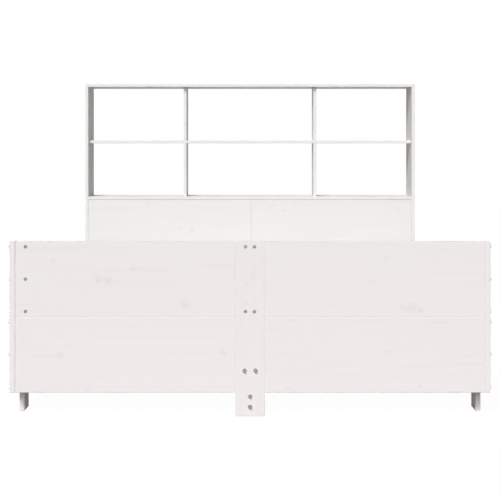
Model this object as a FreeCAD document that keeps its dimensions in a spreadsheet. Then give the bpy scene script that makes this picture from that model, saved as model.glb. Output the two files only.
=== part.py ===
import FreeCAD, Part
import math
import os
import Sketcher
from FreeCAD import Placement, Rotation, Vector

# Bookcase headboard bed in painted pine. Millimetres, +X to the right seen from
# the foot, +Y from the foot towards the headboard, +Z up. The origin is on the
# floor, at the middle of the bed's outer length and width.

doc = FreeCAD.newDocument("BookcaseBed")

# ---------------------------------------------------------------- sizes
SIZES = [
    # the mattress and the room round it
    ("mattress_width", 2000, "mattress across the bed"),
    ("mattress_length", 2000, "mattress along the bed"),
    ("side_gap", 4.5, "play between mattress and each side rail"),
    ("end_gap", 9, "play along the mattress, foot batten to head plane"),
    # boards of the foot and the sides
    ("board_thick", 23, "thickness of foot planks, centre plate and side rails"),
    ("board_tall", 323, "width of one plank, laid edge up"),
    ("floor_gap", 101, "floor to the lowest board's underside"),
    ("post_proud", 2, "end posts stand this far before the foot planks"),
    ("post_deep", 30, "depth of the end post that closes each end of the foot"),
    ("edge_ease", 1.5, "chamfer that eases each board's edges"),
    # the upright plate between the foot planks, and the batten behind it
    ("plate_wide", 125, "width of the centre plate in the foot"),
    ("batten_wide", 240, "width of the batten behind plate and planks"),
    ("batten_thick", 22, "thickness of that batten"),
    ("batten_drop", 6, "batten's top below the foot's top edge"),
    # legs
    ("leg_wide", 87, "width of a leg board"),
    ("leg_thick", 22, "thickness of a leg board"),
    ("corner_setback", 87, "corner leg's edge behind the foot planks' front"),
    ("head_leg_gap", 52, "corner leg's edge before the head planks"),
    # what carries the mattress
    ("slat_drop", 70, "slats' top below the side rails' top edge"),
    ("ledger_thick", 25, "thickness of the side ledger"),
    ("ledger_tall", 60, "height of the side ledger"),
    ("beam_thick", 44, "thickness of the centre beam"),
    ("beam_tall", 90, "height of the centre beam"),
    ("slat_count", 10, "slats in each of the two rows"),
    ("slat_wide", 90, "width of a slat"),
    ("slat_thick", 16, "thickness of a slat"),
    ("slat_end_gap", 3, "slat's end to the side rail"),
    # bookcase headboard
    ("head_tall", 1535, "floor to the headboard's top"),
    ("head_deep", 230, "depth of side panels, top and bottom board"),
    ("panel_thick", 18, "thickness of the headboard's side panels"),
    ("shelf_thick", 18, "thickness of top, shelf and bottom board"),
    ("divider_thick", 18, "thickness of the two dividers"),
    ("inner_deep", 165, "depth of shelf and dividers"),
    ("inner_setback", 29, "shelf and dividers behind the headboard's front"),
    ("head_rise", 67, "head planks' top above the foot's top edge"),
    ("centre_bay", 795, "clear width of the middle bays"),
    ("lap_play", 0.4, "play across each halved joint's slot"),
    ("head_plank_thick", 18, "thickness of the planks under the bookcase"),
    ("head_recess", 1.5, "head planks behind the side panels' front edges"),
    ("head_seam", 9, "head planks' upright seam, right of the middle"),
    # bolts through the end posts into barrel nuts
    ("bolt_wide", 8, "shank diameter of every bolt"),
    ("hole_play", 0.4, "how much wider a bolt's hole is than its shank"),
    ("bolt_edge", 23, "outer bolt rows from a plank's long edges"),
    ("barrel_inset", 45, "barrel nut's axis from the plank's end"),
    ("barrel_wide", 15, "diameter of a barrel nut"),
    ("barrel_long", 15, "length of a barrel nut"),
    ("barrel_play", 0.6, "how much wider a barrel nut's hole is"),
    ("bolt_past", 12, "side bolt's end past the barrel nut's axis"),
    ("hex_wide", 13, "hexagon across flats, bolts and nuts"),
    ("hex_tall", 5.5, "height of a hexagon head"),
    ("flange_wide", 19, "flange diameter, bolts and nuts"),
    ("flange_tall", 1.5, "thickness of a flange"),
    # bolts through the centre plate
    ("plate_bolt_x", 19, "plate bolts from the middle"),
    ("plate_head_wide", 15, "head diameter of a plate bolt"),
    ("plate_head_tall", 5, "head height of a plate bolt"),
    ("plate_sink", 7, "depth of the plate bolts' counterbores"),
    ("socket_wide", 5, "hexagon socket across flats"),
    ("socket_deep", 3, "depth of the hexagon socket"),
    ("sleeve_wide", 10, "outer diameter of a sleeve nut"),
    ("sleeve_long", 15, "length of a sleeve nut under its flange"),
    ("sleeve_flange", 17, "flange diameter of a sleeve nut"),
    ("tip_gap", 1, "plate bolt's end to the batten's back"),
    # bolts through the centre plate into the rebated leg
    ("leg_bolt_x", 23.5, "upper leg bolts from the middle"),
    ("leg_bolt_high", 195, "upper leg bolts above the floor"),
    ("leg_bolt_low", 40, "lowest leg bolt above the floor"),
    ("leg_bolt_step", 45, "step between the two lowest leg bolts"),
    ("leg_head_wide", 18, "head diameter of a leg bolt"),
    ("leg_head_tall", 4, "head height of a leg bolt"),
    ("nut_tall", 6.5, "height of a nut over its flange"),
    ("tip_proud", 1.5, "leg bolt's end past its nut"),
    # steel angles between the side rails and the planks across
    ("angle_leg", 40, "leg length of a steel angle"),
    ("angle_thick", 3, "thickness of a steel angle"),
    ("angle_tall", 60, "height of a steel angle"),
    ("angle_hole", 5, "screw hole diameter in an angle"),
    ("angle_edge", 30, "steel angles at the head from the boards' long edges"),
    # wooden dowels
    ("dowel_wide", 8, "dowel diameter"),
    ("dowel_play", 0.2, "how much wider a dowel's hole is"),
    ("dowel_face", 11, "dowel's depth in the face of a board"),
    ("dowel_end", 23, "dowel's depth in the end of a board"),
    ("dowel_air", 0.5, "room past each end of a dowel"),
    ("dowel_edge", 45, "dowels from a board's edges"),
    # rounds are prisms of this many sides
    ("seen_sides", 20, "sides of a round that shows"),
    ("hidden_sides", 8, "sides of a round that the joints hide"),
]

# Places worked out from the sizes: one formula each.
LAYOUT = [
    ("inner_half", "Sizes.mattress_width / 2 + Sizes.side_gap"),
    ("outer_half", "Layout.inner_half + Sizes.board_thick"),
    ("nut_proud", "Sizes.flange_tall + Sizes.nut_tall + Sizes.tip_proud"),
    ("well_long", "Sizes.mattress_length + Sizes.end_gap"),
    ("outer_long", "Layout.nut_proud + Sizes.board_thick + Sizes.batten_thick"
                   " + Layout.well_long + Sizes.head_deep"),
    ("plank_y", "Layout.nut_proud - Layout.outer_long / 2"),
    ("plank_back", "Layout.plank_y + Sizes.board_thick"),
    ("well_y", "Layout.plank_back + Sizes.batten_thick"),
    ("post_y", "Layout.plank_y - Sizes.post_proud"),
    ("rail_y", "Layout.post_y + Sizes.post_deep"),
    ("head_y", "Layout.well_y + Layout.well_long"),
    ("head_plank_y", "Layout.head_y + Sizes.head_recess"),
    ("upper_z", "Sizes.floor_gap + Sizes.board_tall"),
    ("rim_z", "Layout.upper_z + Sizes.board_tall"),
    ("slat_z", "Layout.upper_z - Sizes.slat_drop - Sizes.slat_thick"),
    ("ledger_z", "Layout.slat_z - Sizes.ledger_tall"),
    ("beam_z", "Layout.slat_z - Sizes.beam_tall"),
    ("top_z", "Sizes.head_tall - Sizes.shelf_thick"),
    ("bottom_z", "Layout.rim_z + Sizes.head_rise"),
    ("divider_tall", "Layout.top_z - Layout.bottom_z - Sizes.shelf_thick"),
    ("bay_tall", "(Layout.divider_tall - Sizes.shelf_thick) / 2"),
    ("shelf_z", "Layout.top_z - Layout.bay_tall - Sizes.shelf_thick"),
    ("head_low_z", "Layout.bottom_z - 2 * Sizes.board_tall"),
    ("head_half", "Layout.outer_half - Sizes.panel_thick"),
    ("inner_y", "Layout.head_y + Sizes.inner_setback"),
    ("divider_x", "Sizes.centre_bay / 2"),
    ("bolt_hole", "Sizes.bolt_wide + Sizes.hole_play"),
    ("barrel_hole", "Sizes.barrel_wide + Sizes.barrel_play"),
    ("barrel_deep", "Sizes.board_thick / 2 + Sizes.barrel_long / 2"),
    ("bolt_deep", "Sizes.barrel_inset + Sizes.bolt_past"),
    ("slat_long", "Layout.inner_half - Sizes.slat_end_gap"),
    ("slat_space", "(Layout.well_long - Sizes.slat_count * Sizes.slat_wide)"
                   " / (Sizes.slat_count + 1)"),
    ("leg_deep", "Sizes.leg_thick + Sizes.batten_thick"),
    ("ledger_y", "Layout.plank_y + Sizes.corner_setback + Sizes.leg_wide"),
    ("head_leg_y", "Layout.head_plank_y - Sizes.head_leg_gap - Sizes.leg_wide"),
    ("dowel_hole", "Sizes.dowel_wide + Sizes.dowel_play"),
    ("dowel_face_hole", "Sizes.dowel_face + Sizes.dowel_air"),
    ("dowel_end_hole", "Sizes.dowel_end + Sizes.dowel_air"),
]


def fill_sheet(name, rows):
    """Write each row's value or formula in column A and give it its alias."""
    sheet = doc.addObject("Spreadsheet::Sheet", name)
    for number, (alias, value) in enumerate(rows, start=1):
        cell = "A%d" % number
        sheet.set(cell, value)
        sheet.setAlias(cell, alias)
    return sheet


sizes = fill_sheet("Sizes", [(alias, str(value)) for alias, value, note in SIZES])
for number, (alias, value, note) in enumerate(SIZES, start=1):
    sizes.set("B%d" % number, note)
layout = fill_sheet("Layout", [(alias, "=" + formula) for alias, formula in LAYOUT])
doc.recompute()

# ---------------------------------------------------------------- helpers
PARTS = []
CUTS = []
EXTENT = {}

# face: origin plane, cut reversed, and where the face lies along the plane's normal,
# which is -Y for the XZ plane: nowhere, or a sign and the number of the extent
FACES = {
    "left": ("YZ_Plane", True, None),
    "right": ("YZ_Plane", False, ("", 0)),
    "front": ("XZ_Plane", False, None),
    "back": ("XZ_Plane", True, ("-", 1)),
    "bottom": ("XY_Plane", True, None),
    "top": ("XY_Plane", False, ("", 2)),
}


def origin_plane(body, role):
    return [item for item in body.Origin.OriginFeatures if item.Role == role][0]


def flat_sketch(body, name, role):
    sketch = body.newObject("Sketcher::SketchObject", name)
    sketch.AttachmentSupport = [(origin_plane(body, role), "")]
    sketch.MapMode = "FlatFace"
    return sketch


def add_outline(sketch, corners):
    """A closed outline of straight lines through corners, each a pair of formulas.

    Every corner is held at its distances from the sketch's origin.
    """
    first = sketch.GeometryCount
    count = len(corners)
    spots = [Vector(sheet_value(across), sheet_value(up), 0) for across, up in corners]
    lines = [Part.LineSegment(spots[i], spots[(i + 1) % count]) for i in range(count)]
    sketch.addGeometry(lines, False)
    rules = []
    for i in range(count):
        follower = first + (i + 1) % count
        rules.append(Sketcher.Constraint("Coincident", first + i, 2, follower, 1))
    bound = sketch.ConstraintCount + len(rules)
    for i, spot in enumerate(spots):
        rules.append(Sketcher.Constraint("DistanceX", -1, 1, first + i, 1, spot.x))
        rules.append(Sketcher.Constraint("DistanceY", -1, 1, first + i, 1, spot.y))
    sketch.addConstraint(rules)
    for i, (across, up) in enumerate(corners):
        sketch.setExpression("Constraints[%d]" % (bound + 2 * i), across)
        sketch.setExpression("Constraints[%d]" % (bound + 2 * i + 1), up)


def ring_corners(across, up, diameter, sides):
    """Corner formulas of a regular outline whose flats touch a round of the diameter."""
    reach = "(%s) / 2 / cos(180 deg / %s)" % (diameter, sides)
    corners = []
    for number in range(int(sheet_value(sides))):
        turn = "(360 deg * %d / %s)" % (number, sides)
        corners.append(("%s + %s * cos%s" % (across, reach, turn),
                        "%s + %s * sin%s" % (up, reach, turn)))
    return corners


def sheet_value(formula):
    """The present value of a formula over the two sheets."""
    return float(layout.evalExpression(formula))


def rectangle(across, up, wide, tall):
    """Corner formulas of a rectangle from its low corner, width and height."""
    right = "%s + %s" % (across, wide)
    top = "%s + %s" % (up, tall)
    return [(across, up), (right, up), (right, top), (across, top)]


def place(item, x, y, z):
    for axis, formula in zip("xyz", (x, y, z)):
        item.setExpression("Placement.Base." + axis, formula)


def new_body(label):
    body = doc.addObject("PartDesign::Body", label)
    body.Label = label
    PARTS.append(body)
    return body


def pad_outline(body, role, corners, height):
    sketch = flat_sketch(body, body.Name + "_outline", role)
    add_outline(sketch, corners)
    pad = body.newObject("PartDesign::Pad", body.Name + "_pad")
    pad.Profile = (sketch, [""])
    pad.setExpression("Length", height)
    doc.recompute()
    return pad


def ease_edges(body, pad):
    ease = body.newObject("PartDesign::Chamfer", body.Name + "_ease")
    ease.Base = (pad, ["Edge1"])
    ease.UseAllEdges = True
    ease.setExpression("Size", "Sizes.edge_ease")
    doc.recompute()


def board(label, wide, deep, tall, x, y, z):
    """A board with eased edges, from its low left front corner at (x, y, z)."""
    body = new_body(label)
    corners = rectangle("0", "0", wide, deep)
    ease_edges(body, pad_outline(body, "XY_Plane", corners, tall))
    EXTENT[label] = (wide, deep, tall)
    place(body, x, y, z)
    return body


def drill(body, face, name, spots, diameter, depth=None, sides="Sizes.hidden_sides"):
    """Holes at spots, each a pair of formulas in the face's plane, to a depth or through.

    A round of the diameter fits in each hole, which has so many sides.
    """
    rings = [ring_corners(across, up, diameter, sides) for across, up in spots]
    cut_from(body, face, name, rings, depth)


def cut_from(body, face, name, outlines, depth=None):
    """Cut outlines into one face of a board, to a depth or right through."""
    role, flip, far = FACES[face]
    sketch = flat_sketch(body, body.Name + "_" + name, role)
    if far:
        sign, index = far
        offset = sign + "(" + EXTENT[body.Label][index] + ")"
        sketch.setExpression("AttachmentOffset.Base.z", offset)
    for corners in outlines:
        add_outline(sketch, corners)
    pocket = body.newObject("PartDesign::Pocket", body.Name + "_" + name + "_cut")
    pocket.Profile = (sketch, [""])
    pocket.Reversed = flip
    if depth:
        pocket.setExpression("Length", depth)
    else:
        pocket.Type = "ThroughAll"
    CUTS.append(pocket)


def dowel_holes(body, face, name, spots, kind):
    """Blind dowel holes in the face or in the end grain of a board."""
    depth = "Layout.dowel_%s_hole" % kind
    drill(body, face, name, spots, "Layout.dowel_hole", depth)


def plus(*terms):
    return " + ".join(terms)


def less(first, *terms):
    return " - ".join((first,) + terms)


def group(label, solid, placements):
    """One node of like pieces, each a separate solid."""
    copies = []
    for spot in placements:
        copy = solid.copy()
        copy.Placement = spot.multiply(copy.Placement)
        copies.append(copy)
    item = doc.addObject("Part::Feature", label)
    item.Label = label
    item.Shape = Part.makeCompound(copies)
    PARTS.append(item)


# ---------------------------------------------------------------- foot
SIDES = ("left", "right")
ROWS = ("upper", "lower")
ROW_Z = {"upper": "Layout.upper_z", "lower": "Sizes.floor_gap"}

# heights of the three bolt rows within a plank
BOLT_ROWS = (
    "Sizes.bolt_edge",
    "Sizes.board_tall / 2",
    "Sizes.board_tall - Sizes.bolt_edge",
)

# heights of the two dowels at a plank's end
PLANK_DOWELS = ("Sizes.dowel_edge", "Sizes.board_tall - Sizes.dowel_edge")


def foot_plank(row, side):
    """One of four planks from an end post to the plate, with barrel nuts at the post."""
    long = "(Layout.inner_half - Sizes.plate_wide / 2)"
    left = side == "left"
    x = "-Layout.inner_half" if left else "Sizes.plate_wide / 2"
    body = board("foot_plank_" + row + "_" + side, long, "Sizes.board_thick",
                 "Sizes.board_tall", x, "Layout.plank_y", ROW_Z[row])
    bolts = [("Sizes.board_thick / 2", up) for up in BOLT_ROWS]
    drill(body, side, "bolts", bolts, "Layout.bolt_hole", "Layout.bolt_deep")
    # the upper left plank is turned round, so its barrel nuts show on the outside
    shows = row == "upper" and left
    inset = "Sizes.barrel_inset" if left else less(long, "Sizes.barrel_inset")
    nuts = [(inset, up) for up in BOLT_ROWS]
    drill(body, "front" if shows else "back", "barrels", nuts, "Layout.barrel_hole",
          "Layout.barrel_deep", "Sizes.seen_sides" if shows else "Sizes.hidden_sides")
    spots = [("Sizes.board_thick / 2", up) for up in PLANK_DOWELS]
    dowel_holes(body, "right" if left else "left", "dowels", spots, "end")


def leg_bolt_spots(middle):
    """The four leg bolts, across from a piece's own left edge and up from the floor."""
    low = "Sizes.leg_bolt_low"
    high = "Sizes.leg_bolt_high"
    return [
        (less(middle, "Sizes.leg_bolt_x"), high),
        (plus(middle, "Sizes.leg_bolt_x"), high),
        (middle, low),
        (middle, plus(low, "Sizes.leg_bolt_step")),
    ]


def plate_bolt_spots(middle, base):
    """The four plate bolts, across from a piece's own left edge and up from its base."""
    spots = []
    for up in BOLT_ROWS[::2]:
        height = less(plus("Layout.upper_z", up), base)
        spots.append((less(middle, "Sizes.plate_bolt_x"), height))
        spots.append((plus(middle, "Sizes.plate_bolt_x"), height))
    return spots


def foot_centre_plate():
    """The upright plate between the foot planks, flush with them, down to the floor."""
    body = board("foot_centre_plate", "Sizes.plate_wide", "Sizes.board_thick",
                 "Layout.rim_z", "-Sizes.plate_wide / 2", "Layout.plank_y", "0")
    middle = "Sizes.plate_wide / 2"
    spots = plate_bolt_spots(middle, "0")
    drill(body, "front", "bolts", spots, "Layout.bolt_hole")
    drill(body, "front", "sinks", spots, "Sizes.plate_head_wide + Sizes.hole_play",
          "Sizes.plate_sink", "Sizes.seen_sides")
    drill(body, "front", "leg_bolts", leg_bolt_spots(middle), "Layout.bolt_hole")
    spots = [("Sizes.board_thick / 2", plus(ROW_Z[row], up)) for row in ROWS
             for up in PLANK_DOWELS]
    for side in SIDES:
        dowel_holes(body, side, side + "_dowels", spots, "face")


def foot_batten():
    """The upright batten that ties the plate and the planks' inner ends from behind."""
    tall = "(Layout.rim_z - Sizes.batten_drop - Sizes.floor_gap)"
    body = board("foot_batten", "Sizes.batten_wide", "Sizes.batten_thick", tall,
                 "-Sizes.batten_wide / 2", "Layout.plank_back", "Sizes.floor_gap")
    middle = "Sizes.batten_wide / 2"
    spots = plate_bolt_spots(middle, "Sizes.floor_gap")
    drill(body, "back", "sleeves", spots, "Sizes.sleeve_wide + Sizes.hole_play")
    drill(body, "back", "flanges", spots, "Sizes.sleeve_flange + Sizes.hole_play",
          "Sizes.flange_tall")
    high = less("Sizes.leg_bolt_high", "Sizes.floor_gap")
    spots = [(less(middle, "Sizes.leg_bolt_x"), high),
             (plus(middle, "Sizes.leg_bolt_x"), high)]
    drill(body, "front", "leg_bolts", spots, "Layout.bolt_hole")


def foot_centre_leg():
    """The leg under the beam's foot end, rebated over the batten's lower end."""
    body = new_body("foot_centre_leg")
    corners = [
        ("0", "0"),
        ("Layout.leg_deep", "0"),
        ("Layout.leg_deep", "Layout.beam_z"),
        ("Sizes.batten_thick", "Layout.beam_z"),
        ("Sizes.batten_thick", "Sizes.floor_gap"),
        ("0", "Sizes.floor_gap"),
    ]
    pad = pad_outline(body, "YZ_Plane", corners, "Sizes.leg_wide")
    ease_edges(body, pad)
    EXTENT[body.Label] = ("Sizes.leg_wide", "Layout.leg_deep", "Layout.beam_z")
    spots = leg_bolt_spots("Sizes.leg_wide / 2")
    drill(body, "front", "leg_bolts", spots, "Layout.bolt_hole")
    place(body, "-Sizes.leg_wide / 2", "Layout.plank_back", "0")


# ---------------------------------------------------------------- sides
def side_x(side, inset, thick):
    """Left edge of a board whose outer face is inset from the inner wall."""
    if side == "left":
        return "-Layout.inner_half + " + inset
    return "Layout.inner_half - %s - %s" % (inset, thick)


def outer_x(side):
    """Left edge of an end post or a side rail."""
    return "-Layout.outer_half" if side == "left" else "Layout.inner_half"


def foot_post(side):
    """An end post over both rows of foot planks, bolted to each of them."""
    body = board("foot_post_" + side, "Sizes.board_thick", "Sizes.post_deep",
                 "(2 * Sizes.board_tall)", outer_x(side), "Layout.post_y",
                 "Sizes.floor_gap")
    plank_mid = "Sizes.post_proud + Sizes.board_thick / 2"
    spots = [(plank_mid, plus(base, up)) for base in ("0", "Sizes.board_tall")
             for up in BOLT_ROWS]
    drill(body, "left", "bolts", spots, "Layout.bolt_hole")
    spots = [("Sizes.board_thick / 2", up) for up in PLANK_DOWELS]
    dowel_holes(body, "back", "dowels", spots, "face")


def side_rail(side):
    """A plank on edge from the end post to the headboard."""
    body = board("side_rail_" + side, "Sizes.board_thick",
                 "(Layout.head_y - Layout.rail_y)", "Sizes.board_tall", outer_x(side),
                 "Layout.rail_y", "Sizes.floor_gap")
    spots = [("Sizes.board_thick / 2", up) for up in PLANK_DOWELS]
    dowel_holes(body, "front", "dowels", spots, "end")


def side_pieces(side):
    """What stands and runs along one side."""
    foot_post(side)
    side_rail(side)
    leg_x = side_x(side, "0", "Sizes.leg_thick")
    for end, y in (("foot", "Layout.plank_y + Sizes.corner_setback"),
                   ("head", "Layout.head_leg_y")):
        board("corner_leg_" + end + "_" + side, "Sizes.leg_thick", "Sizes.leg_wide",
              "Layout.slat_z", leg_x, y, "0")
    board("side_ledger_" + side, "Sizes.ledger_thick",
          "(Layout.head_leg_y - Layout.ledger_y)", "Sizes.ledger_tall",
          side_x(side, "0", "Sizes.ledger_thick"), "Layout.ledger_y", "Layout.ledger_z")


# ---------------------------------------------------------------- base
def mattress_base():
    """The centre beam, its legs and two rows of slats."""
    beam_long = "(Layout.head_plank_y - Layout.well_y)"
    board("centre_beam", "Sizes.beam_thick", beam_long, "Sizes.beam_tall",
          "-Sizes.beam_thick / 2", "Layout.well_y", "Layout.beam_z")
    board("beam_leg", "Sizes.beam_thick", "Sizes.leg_wide", "Layout.beam_z",
          "-Sizes.beam_thick / 2",
          "Layout.well_y + (Layout.head_plank_y - Layout.well_y - Sizes.leg_wide) / 2",
          "0")
    board("head_centre_leg", "Sizes.leg_wide", "Sizes.leg_thick", "Layout.beam_z",
          "-Sizes.leg_wide / 2", "Layout.head_plank_y - Sizes.leg_thick", "0")
    for side in SIDES:
        x = "-Layout.slat_long" if side == "left" else "0"
        for number in range(int(sheet_value("Sizes.slat_count"))):
            y = ("Layout.well_y + Layout.slat_space"
                 " + %d * (Sizes.slat_wide + Layout.slat_space)" % number)
            board("slat_%s_%02d" % (side, number + 1), "Layout.slat_long",
                  "Sizes.slat_wide", "Sizes.slat_thick", x, y, "Layout.slat_z")


# ---------------------------------------------------------------- headboard
# dowels across the depth of a panel as deep as the headboard, and of an inner one
DEEP_DOWELS = ("Sizes.dowel_edge", "Sizes.head_deep - Sizes.dowel_edge")
INNER_DOWELS = ("Sizes.dowel_edge", "Sizes.inner_deep - Sizes.dowel_edge")


def side_panel(side):
    """An upright panel from the floor to the top board."""
    x = "-Layout.outer_half" if side == "left" else "Layout.head_half"
    body = board("head_panel_" + side, "Sizes.panel_thick", "Sizes.head_deep",
                 "Layout.top_z", x, "Layout.head_y", "0")
    inner = "right" if side == "left" else "left"
    shelf_mid = plus("Layout.shelf_z", "Sizes.shelf_thick / 2")
    bottom_mid = plus("Layout.bottom_z", "Sizes.shelf_thick / 2")
    spots = [(plus("Sizes.inner_setback", y), shelf_mid) for y in INNER_DOWELS]
    spots += [(y, bottom_mid) for y in DEEP_DOWELS]
    plank_mid = plus("Sizes.head_recess", "Sizes.head_plank_thick / 2")
    for base in ("Layout.head_low_z", "(Layout.head_low_z + Sizes.board_tall)"):
        spots += [(plank_mid, plus(base, up)) for up in PLANK_DOWELS]
    dowel_holes(body, inner, "dowels", spots, "face")
    ends = [("Sizes.panel_thick / 2", y) for y in DEEP_DOWELS]
    dowel_holes(body, "top", "top_dowels", ends, "end")


def divider_middles(edge):
    """Both dividers' mid planes, across from the left edge of a board."""
    return (
        edge + " - Layout.divider_x - Sizes.divider_thick / 2",
        edge + " + Layout.divider_x + Sizes.divider_thick / 2",
    )


def top_board():
    body = board("head_top_board", "(2 * Layout.outer_half)", "Sizes.head_deep",
                 "Sizes.shelf_thick", "-Layout.outer_half", "Layout.head_y",
                 "Layout.top_z")
    ends = ("Sizes.panel_thick / 2", "2 * Layout.outer_half - Sizes.panel_thick / 2")
    spots = [(x, y) for x in ends for y in DEEP_DOWELS]
    spots += [(x, plus("Sizes.inner_setback", y))
              for x in divider_middles("Layout.outer_half") for y in INNER_DOWELS]
    dowel_holes(body, "bottom", "dowels", spots, "face")


def bottom_board():
    body = board("head_bottom_board", "(2 * Layout.head_half)", "Sizes.head_deep",
                 "Sizes.shelf_thick", "-Layout.head_half", "Layout.head_y",
                 "Layout.bottom_z")
    spots = [(x, plus("Sizes.inner_setback", y))
             for x in divider_middles("Layout.head_half") for y in INNER_DOWELS]
    dowel_holes(body, "top", "dowels", spots, "face")
    ends = [(y, "Sizes.shelf_thick / 2") for y in DEEP_DOWELS]
    for side in SIDES:
        dowel_holes(body, side, side + "_dowels", ends, "end")


def shelf():
    """The middle shelf, slotted from the back so that the dividers lap through it."""
    body = board("head_shelf", "(2 * Layout.head_half)", "Sizes.inner_deep",
                 "Sizes.shelf_thick", "-Layout.head_half", "Layout.inner_y",
                 "Layout.shelf_z")
    slot_wide = "Sizes.divider_thick + Sizes.lap_play"
    slots = []
    for middle in divider_middles("Layout.head_half"):
        across = middle + " - (" + slot_wide + ") / 2"
        slots.append(rectangle(across, "Sizes.inner_deep / 2", slot_wide,
                               "Sizes.inner_deep / 2"))
    cut_from(body, "bottom", "laps", slots)
    ends = [(y, "Sizes.shelf_thick / 2") for y in INNER_DOWELS]
    for side in SIDES:
        dowel_holes(body, side, side + "_dowels", ends, "end")


def divider(side):
    """An upright divider, slotted from the front over the shelf."""
    x = "-Layout.divider_x - Sizes.divider_thick" if side == "left" else "Layout.divider_x"
    body = board("head_divider_" + side, "Sizes.divider_thick", "Sizes.inner_deep",
                 "Layout.divider_tall", x, "Layout.inner_y",
                 "Layout.bottom_z + Sizes.shelf_thick")
    slot = rectangle("0", "Layout.bay_tall - Sizes.lap_play / 2", "Sizes.inner_deep / 2",
                     "Sizes.shelf_thick + Sizes.lap_play")
    cut_from(body, "left", "lap", [slot])
    ends = [("Sizes.divider_thick / 2", y) for y in INNER_DOWELS]
    for face in ("bottom", "top"):
        dowel_holes(body, face, face + "_dowels", ends, "end")


def head_plank(row, side):
    """One of four planks under the bookcase, doweled into its side panel."""
    left = side == "left"
    x = "-Layout.head_half" if left else "Sizes.head_seam"
    long = ("(Layout.head_half + Sizes.head_seam)" if left
            else "(Layout.head_half - Sizes.head_seam)")
    z = "Layout.head_low_z" if row == "lower" else "Layout.head_low_z + Sizes.board_tall"
    body = board("head_plank_" + row + "_" + side, long, "Sizes.head_plank_thick",
                 "Sizes.board_tall", x, "Layout.head_plank_y", z)
    ends = [("Sizes.head_plank_thick / 2", up) for up in PLANK_DOWELS]
    dowel_holes(body, side, "dowels", ends, "end")


def headboard():
    for side in SIDES:
        side_panel(side)
        divider(side)
    top_board()
    shelf()
    bottom_board()
    for row in ROWS:
        for side in SIDES:
            head_plank(row, side)
    board("head_seam_batten", "Sizes.leg_wide", "Sizes.leg_thick",
          "(2 * Sizes.board_tall)", "Sizes.head_seam - Sizes.leg_wide / 2",
          "Layout.head_plank_y + Sizes.head_plank_thick", "Layout.head_low_z")


# ---------------------------------------------------------------- fasteners
HEX_SIDES = 6
Z_TO = {
    "+X": Rotation(Vector(0, 0, 1), Vector(1, 0, 0)),
    "-X": Rotation(Vector(0, 0, 1), Vector(-1, 0, 0)),
    "+Y": Rotation(Vector(0, 0, 1), Vector(0, 1, 0)),
    "-Y": Rotation(Vector(0, 0, 1), Vector(0, -1, 0)),
    "+Z": Rotation(),
    "-Z": Rotation(Vector(1, 0, 0), 180),
}


def prism(radius, start, height, sides):
    """A regular prism along +Z, with its corners on the radius."""
    turn = Rotation(Vector(0, 0, 1), 360 / sides)
    spots = [Vector(radius, 0, start)]
    for side in range(1, int(sides)):
        spots.append(turn.multVec(spots[-1]))
    outline = Part.makePolygon(spots + spots[:1])
    return Part.Face(outline).extrude(Vector(0, 0, height))


def solid_round(diameter, start, height, sides):
    """A round inside its diameter, as a shank, a head or a drum."""
    return prism(diameter / 2, start, height, sides)


def hollow_round(diameter, start, height, sides):
    """A round outside its diameter or across its flats, as a bore or a hexagon."""
    return prism(diameter / 2 / math.cos(math.pi / sides), start, height, sides)


def flange_bolt():
    """Hexagon bolt with a flange; the shank runs to -Z from the seat at z = 0."""
    reach = sheet_value("Sizes.board_thick + Layout.bolt_deep - Sizes.tip_gap")
    flange = solid_round(sizes.flange_wide, 0, sizes.flange_tall, sizes.seen_sides)
    head = hollow_round(sizes.hex_wide, sizes.flange_tall, sizes.hex_tall, HEX_SIDES)
    shank = solid_round(sizes.bolt_wide, -reach, reach, sizes.hidden_sides)
    return shank.fuse([flange, head]).removeSplitter()


def barrel_nut():
    """Cross dowel along Z with a bore along X through its middle."""
    drum = solid_round(sizes.barrel_wide, -sizes.barrel_long / 2, sizes.barrel_long,
                       sizes.seen_sides)
    bore = hollow_round(layout.bolt_hole, -sizes.barrel_wide / 2, sizes.barrel_wide,
                        sizes.hidden_sides)
    bore.Placement = Placement(Vector(), Z_TO["+X"])
    return drum.cut(bore)


def plate_bolt():
    """Socket bolt; its head stands on z = 0 and its shank runs to -Z."""
    reach = sheet_value("Sizes.board_thick - Sizes.plate_sink + Sizes.batten_thick"
                        " - Sizes.tip_gap")
    head = solid_round(sizes.plate_head_wide, 0, sizes.plate_head_tall,
                       sizes.seen_sides)
    shank = solid_round(sizes.bolt_wide, -reach, reach, sizes.hidden_sides)
    socket = hollow_round(sizes.socket_wide, sizes.plate_head_tall - sizes.socket_deep,
                          sizes.socket_deep, HEX_SIDES)
    return shank.fuse(head).cut(socket).removeSplitter()


def sleeve_nut():
    """Flanged sleeve; the flange lies between z = 0 and its own thickness below."""
    sides = sizes.hidden_sides
    bottom = -sizes.flange_tall - sizes.sleeve_long
    flange = solid_round(sizes.sleeve_flange, -sizes.flange_tall, sizes.flange_tall,
                         sides)
    sleeve = solid_round(sizes.sleeve_wide, bottom, sizes.sleeve_long, sides)
    bore = hollow_round(layout.bolt_hole, bottom, -bottom, sides)
    return flange.fuse(sleeve).cut(bore).removeSplitter()


def leg_bolt():
    """Flat round-headed bolt; the head stands on z = 0 and the shank runs to -Z."""
    reach = sheet_value("Layout.leg_deep + Sizes.board_thick + Layout.nut_proud")
    head = solid_round(sizes.leg_head_wide, 0, sizes.leg_head_tall, sizes.seen_sides)
    shank = solid_round(sizes.bolt_wide, -reach, reach, sizes.hidden_sides)
    return head.fuse(shank).removeSplitter()


def leg_nut():
    """Hexagon nut with a flange, seated on z = 0."""
    flange = solid_round(sizes.flange_wide, 0, sizes.flange_tall, sizes.seen_sides)
    body = hollow_round(sizes.hex_wide, sizes.flange_tall, sizes.nut_tall, HEX_SIDES)
    bore = hollow_round(layout.bolt_hole, 0, sizes.flange_tall + sizes.nut_tall,
                        sizes.hidden_sides)
    return flange.fuse(body).cut(bore).removeSplitter()


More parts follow.
